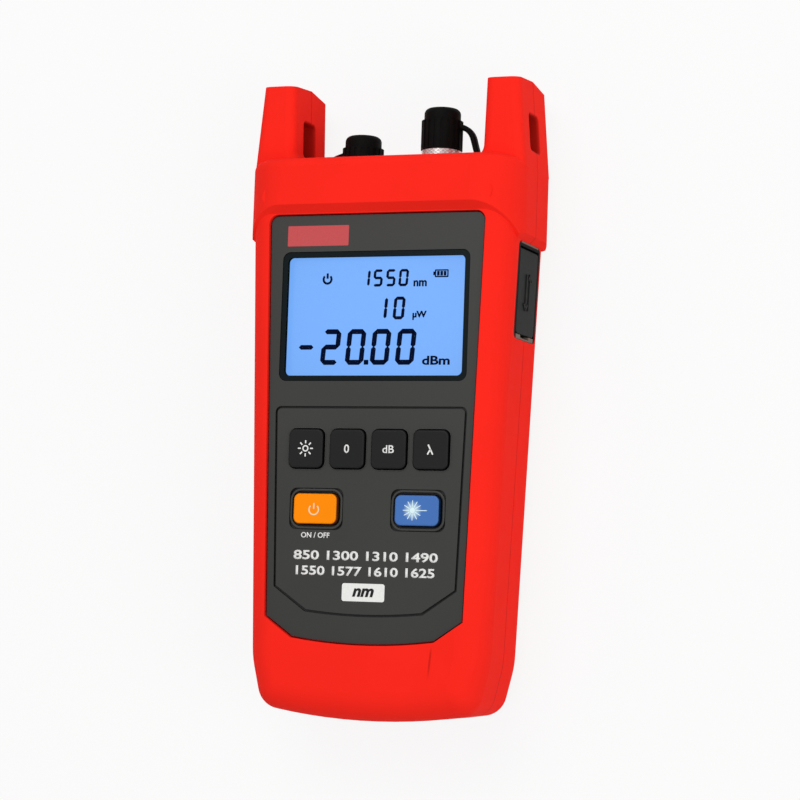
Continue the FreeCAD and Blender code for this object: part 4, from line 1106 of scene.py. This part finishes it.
class TESTER_OT_reading(bpy.types.Operator):
    """Dark figures and signs of the lit display"""

    bl_idname = "tester.reading"
    bl_label = "Display reading"

    def execute(self, context):
        flats = [
            *self.wavelength(),
            *self.power(),
            *self.level(),
            *power_sign(at(-16.7, 11.7), radius=1.65 * MM, band=0.68 * MM),
            *self.battery(),
        ]
        reading = join(flats)
        reading.location = top_of("display_glass")
        apply_place(reading)
        thicken(reading, sizes().figure_rise)
        ink = printed("display_ink", colours().ink, gloss=0.02)
        settle(reading, "display_reading", ink, "case")
        return {"FINISHED"}

    def wavelength(self):
        """Upper row: a wavelength with its unit."""
        row = figures(
            "1550", at(-5.9, 9.25), size=at(3.1, 5.3),
            pitch=4.17 * MM, stroke=0.82 * MM, lean=radians(4))
        unit = flat_words("nm", at(13.75, 10.1), height=1.9 * MM, width=4.3 * MM, bold=0.035)
        return [row, unit]

    def power(self):
        """Middle row: the same level as a power, in a unit whose first letter has a tail."""
        row = figures(
            "10", at(-0.6, -0.9), size=at(3.7, 7.0),
            pitch=5.7 * MM, stroke=1.0 * MM, lean=radians(4))
        unit = flat_words("uW", at(13.9, 0.65), height=2.05 * MM, width=4.6 * MM, bold=0.045)
        tail = flat_bar(at(11.85, -0.35), 1.6 * MM, 0.5 * MM, pi / 2, tip=0.04 * MM)
        return [row, unit, tail]

    def level(self):
        """Lower row: the level in large figures."""
        row = figures(
            "2000", at(-18.3, -14.75), size=at(6.1, 11.0),
            pitch=8.2 * MM, stroke=1.55 * MM, lean=radians(4.5))
        sign = flat_bar(at(-23.0, -9.3), length=4.9 * MM, width=1.45 * MM)
        point = flat_plate(at(-3.0, -13.95), 1.5 * MM, 1.5 * MM, corner=0.2 * MM)
        unit = flat_words("dBm", at(19.65, -13.4), height=2.75 * MM, width=8.9 * MM, bold=0.03)
        return [row, sign, point, unit]

    def battery(self):
        """A small cell with three bars."""
        middle = at(20.6, 13.05)
        body = flat_frame(middle, 4.4 * MM, 2.4 * MM, corner=0.25 * MM, band=0.4 * MM)
        nub = flat_plate(middle + at(-2.4, 0), 0.6 * MM, 1.1 * MM, corner=0.1 * MM)
        bars = [
            flat_plate(middle + at(step, 0), 0.82 * MM, 1.4 * MM, corner=0.08 * MM)
            for step in (-1.08, 0, 1.08)
        ]
        return [body, nub, *bars]


class TESTER_OT_legends(bpy.types.Operator):
    """Printed signs on the keys, numbers on the panel and two bare plates"""

    bl_idname = "tester.legends"
    bl_label = "Legends"

    def execute(self, context):
        white = printed("legend_white", colours().legend)
        signs = (self.lamp, self.zero, self.decibel, self.wavelength, self.power, self.burst)
        inks = {
            "key_power": printed("power_cream", colours().cream),
            "key_laser": printed("burst_cyan", colours().burst),
        }
        for key, draw in zip(SMALL_KEYS + WIDE_KEYS, signs):
            ink = inks.get(key, white)
            self.lay(draw(top_of(key)), f"{key}_sign", ink, "sleeve_white", key)
        self.panel_print(white)
        self.plates(white)
        return {"FINISHED"}

    def lay(self, flats, name, ink, slot, body="case"):
        """Joins flat shapes and gives them the thickness of print."""
        settle(thicken(join(flats), sizes().print_rise), name, ink, body)

    def lamp(self, middle):
        """A small lamp: a ring with rays."""
        rays = [
            flat_ray(middle, step * pi / 4, 1.5 * MM, 2.5 * MM, width=0.4 * MM, tip=0.04 * MM)
            for step in range(8)
        ]
        return [flat_ring(middle, radius=1.0 * MM, band=0.38 * MM), *rays]

    def zero(self, middle):
        return [flat_words("0", middle, height=2.6 * MM, bold=0.015)]

    def decibel(self, middle):
        return [flat_words("dB", middle, height=2.4 * MM, width=3.7 * MM, bold=0.012)]

    def wavelength(self, middle):
        """The letter for a wavelength: a long stroke, and a short one that leans on it."""
        width = 0.45 * MM
        tip = 0.1 * width
        return [
            flat_bar(middle + at(0.05, 0), 3.4 * MM, width, radians(-63), tip),
            flat_bar(middle + at(-0.45, -0.72), 1.8 * MM, width, radians(61), tip),
        ]

    def power(self, middle):
        return power_sign(middle + at(-0.3, -0.3), radius=1.75 * MM, band=0.4 * MM)

    def burst(self, middle):
        """A bright spot beside the middle with thin rays all round, one of them long."""
        centre = burst_spot()
        count = 12
        root = 0.9 * MM
        rays = []
        for step in range(count):
            turn = step * 2 * pi / count
            reach = (4.9 if step == 0 else 3.15) * MM
            tip = 0.15 * (reach - root)
            rays.append(flat_ray(centre, turn, root, reach, width=0.25 * MM, tip=tip))
        return [flat_disc(centre, radius=0.8 * MM), *rays]

    def panel_print(self, white):
        """Small words and wavelengths on the keypad panel."""
        low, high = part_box("keypad_panel")
        power = top_of("key_power")
        switch_at = Vector((power.x, power.y - 8.0 * MM, high.z))
        lines = [flat_words("ON / OFF", switch_at, height=1.7 * MM, width=9.4 * MM, bold=0.02)]
        rows = (
            ("850 1300 1310 1490", 17.55 * MM, 46.8 * MM),
            ("1550 1577 1610 1625", 12.9 * MM, 45.0 * MM),
        )
        for numbers, up, width in rows:
            row_at = Vector((0, low.y + up, high.z))
            lines.append(flat_words(numbers, row_at, 2.9 * MM, width, bold=0.025))
        self.lay(lines, "panel_numbers", white, "sleeve_white")

    def plates(self, white):
        """A white badge under the numbers and a bare plate over the display."""
        panel_low, panel_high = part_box("keypad_panel")
        badge_at = Vector((-0.2 * MM, panel_low.y + 6.6 * MM, panel_high.z))
        badge = flat_plate(badge_at, 13.8 * MM, 5.4 * MM, corner=0.7 * MM)
        self.lay([badge], "badge", white, "sleeve_white")
        unit_at = badge_at + Vector((0, 0, sizes().print_rise))
        unit = flat_words("nm", unit_at, 2.6 * MM, 7.0 * MM, bold=0.037, slant=0.25)
        self.lay([unit], "badge_unit", printed("badge_ink", colours().key_black), "key_black")
        low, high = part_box("fascia")
        plate_at = Vector((low.x + 15.7 * MM, high.y - 6.25 * MM, high.z))
        plate = flat_plate(plate_at, 20.2 * MM, 6.3 * MM, corner=0.3 * MM)
        self.lay([plate], "bare_plate", printed("plate_red", colours().plate), "case_red")


class TESTER_OT_stage(bpy.types.Operator):
    """Pale floor, soft light and the camera"""

    bl_idname = "tester.stage"
    bl_label = "Stage"

    def execute(self, context):
        studio = context.scene.tester_studio
        self.floor()
        self.sky(studio.sky)
        self.lamp("key_light", KEY_LIGHT_AT, studio.key_power, KEY_LIGHT_SIZE)
        self.lamp("fill_light", FILL_LIGHT_AT, studio.fill_power, FILL_LIGHT_SIZE)
        self.camera(studio)
        context.scene.view_settings.view_transform = "Standard"
        return {"FINISHED"}

    def floor(self):
        """A floor that takes the shadow, and that looks nearly white."""
        deselect()
        bpy.ops.mesh.primitive_plane_add(
            size=FLOOR_SIZE, location=(0, 0, CAD_LOW.z - FLOOR_GAP))
        floor = bpy.context.object
        floor.name = "floor"
        material = bpy.data.materials.new("pale_floor")
        material.use_nodes = True
        set_surface(material, Base_Color=tint(colours().floor), Roughness=0.9)
        tree = material.node_tree
        start = Wire(tree)
        seen = start.node("ShaderNodeLightPath", output="Is Camera Ray")
        mirrored = start.node("ShaderNodeLightPath", output="Is Glossy Ray")
        through = start.node("ShaderNodeLightPath", output="Is Transmission Ray")
        white = start.node("ShaderNodeEmission", {"Color": tint(WHITE), "Strength": 1.0})
        pale = Wire(tree, tree.nodes["Principled BSDF"].outputs[0])
        lift = (seen + mirrored + through) * FLOOR_LIFT
        lifted = start.node("ShaderNodeMixShader", {0: lift, 1: pale, 2: white})
        feed(tree.nodes["Material Output"].inputs["Surface"], lifted)
        floor.data.materials.append(material)

    def sky(self, strength):
        """Even light all round, which the camera sees as white."""
        world = bpy.data.worlds.new("studio")
        bpy.context.scene.world = world
        world.use_nodes = True
        background = world.node_tree.nodes["Background"]
        seen = Wire(world.node_tree).node("ShaderNodeLightPath", output="Is Camera Ray")
        feed(background.inputs["Color"], tint(WHITE))
        feed(background.inputs["Strength"], seen * (1 - strength) + strength)

    def lamp(self, name, place, power, size):
        """A square light that faces the middle of the tester."""
        deselect()
        target = (CAD_LOW + CAD_HIGH) / 2
        turn = (target - place).to_track_quat("-Z", "Y").to_euler()
        bpy.ops.object.light_add(type="AREA", location=place, rotation=turn)
        lamp = bpy.context.object
        lamp.name = name
        lamp.data.energy = power
        lamp.data.size = size

    def camera(self, studio):
        """The camera, at the photograph's viewing angle."""
        forward = Vector(studio.forward).normalized()
        across = forward.cross(Vector(studio.upward)).normalized()
        upward = across.cross(forward)
        deselect()
        bpy.ops.object.camera_add()
        camera = bpy.context.object
        turn = Matrix((across, upward, -forward)).transposed().to_4x4()
        camera.matrix_world = Matrix.Translation(studio.eye) @ turn
        camera.data.lens = studio.lens
        camera.data.sensor_width = 36
        camera.data.clip_start = 0.01
        bpy.context.scene.camera = camera


OPERATORS = (
    TESTER_OT_case,
    TESTER_OT_face,
    TESTER_OT_keys,
    TESTER_OT_ports,
    TESTER_OT_caps,
    TESTER_OT_side_door,
    TESTER_OT_inner,
    TESTER_OT_screws,
    TESTER_OT_reading,
    TESTER_OT_legends,
    TESTER_OT_stage,
)
GROUPS = {
    "tester_colours": TesterColours,
    "tester_sizes": TesterSizes,
    "tester_studio": TesterStudio,
}


class TESTER_PT_tools(bpy.types.Panel):
    """Lists the tester's pieces"""

    bl_idname = "TESTER_PT_tools"
    bl_label = "Fibre Optic Tester"
    bl_space_type = "VIEW_3D"
    bl_region_type = "UI"
    bl_category = "Tester"

    def draw(self, context):
        for operator in OPERATORS:
            self.layout.operator(operator.bl_idname)
        for group, kind in GROUPS.items():
            column = self.layout.column(align=True)
            for name in kind.__annotations__:
                column.prop(getattr(context.scene, group), name)


CLASSES = (*GROUPS.values(), *OPERATORS, TESTER_PT_tools)


def register():
    for kind in CLASSES:
        bpy.utils.register_class(kind)
    for name, kind in GROUPS.items():
        setattr(bpy.types.Scene, name, bpy.props.PointerProperty(type=kind))


def unregister():
    for name in GROUPS:
        delattr(bpy.types.Scene, name)
    for kind in reversed(CLASSES):
        bpy.utils.unregister_class(kind)


def main():
    register()
    for operator in OPERATORS:
        group, name = operator.bl_idname.split(".")
        getattr(getattr(bpy.ops, group), name)()


if __name__ == "__main__":
    main()
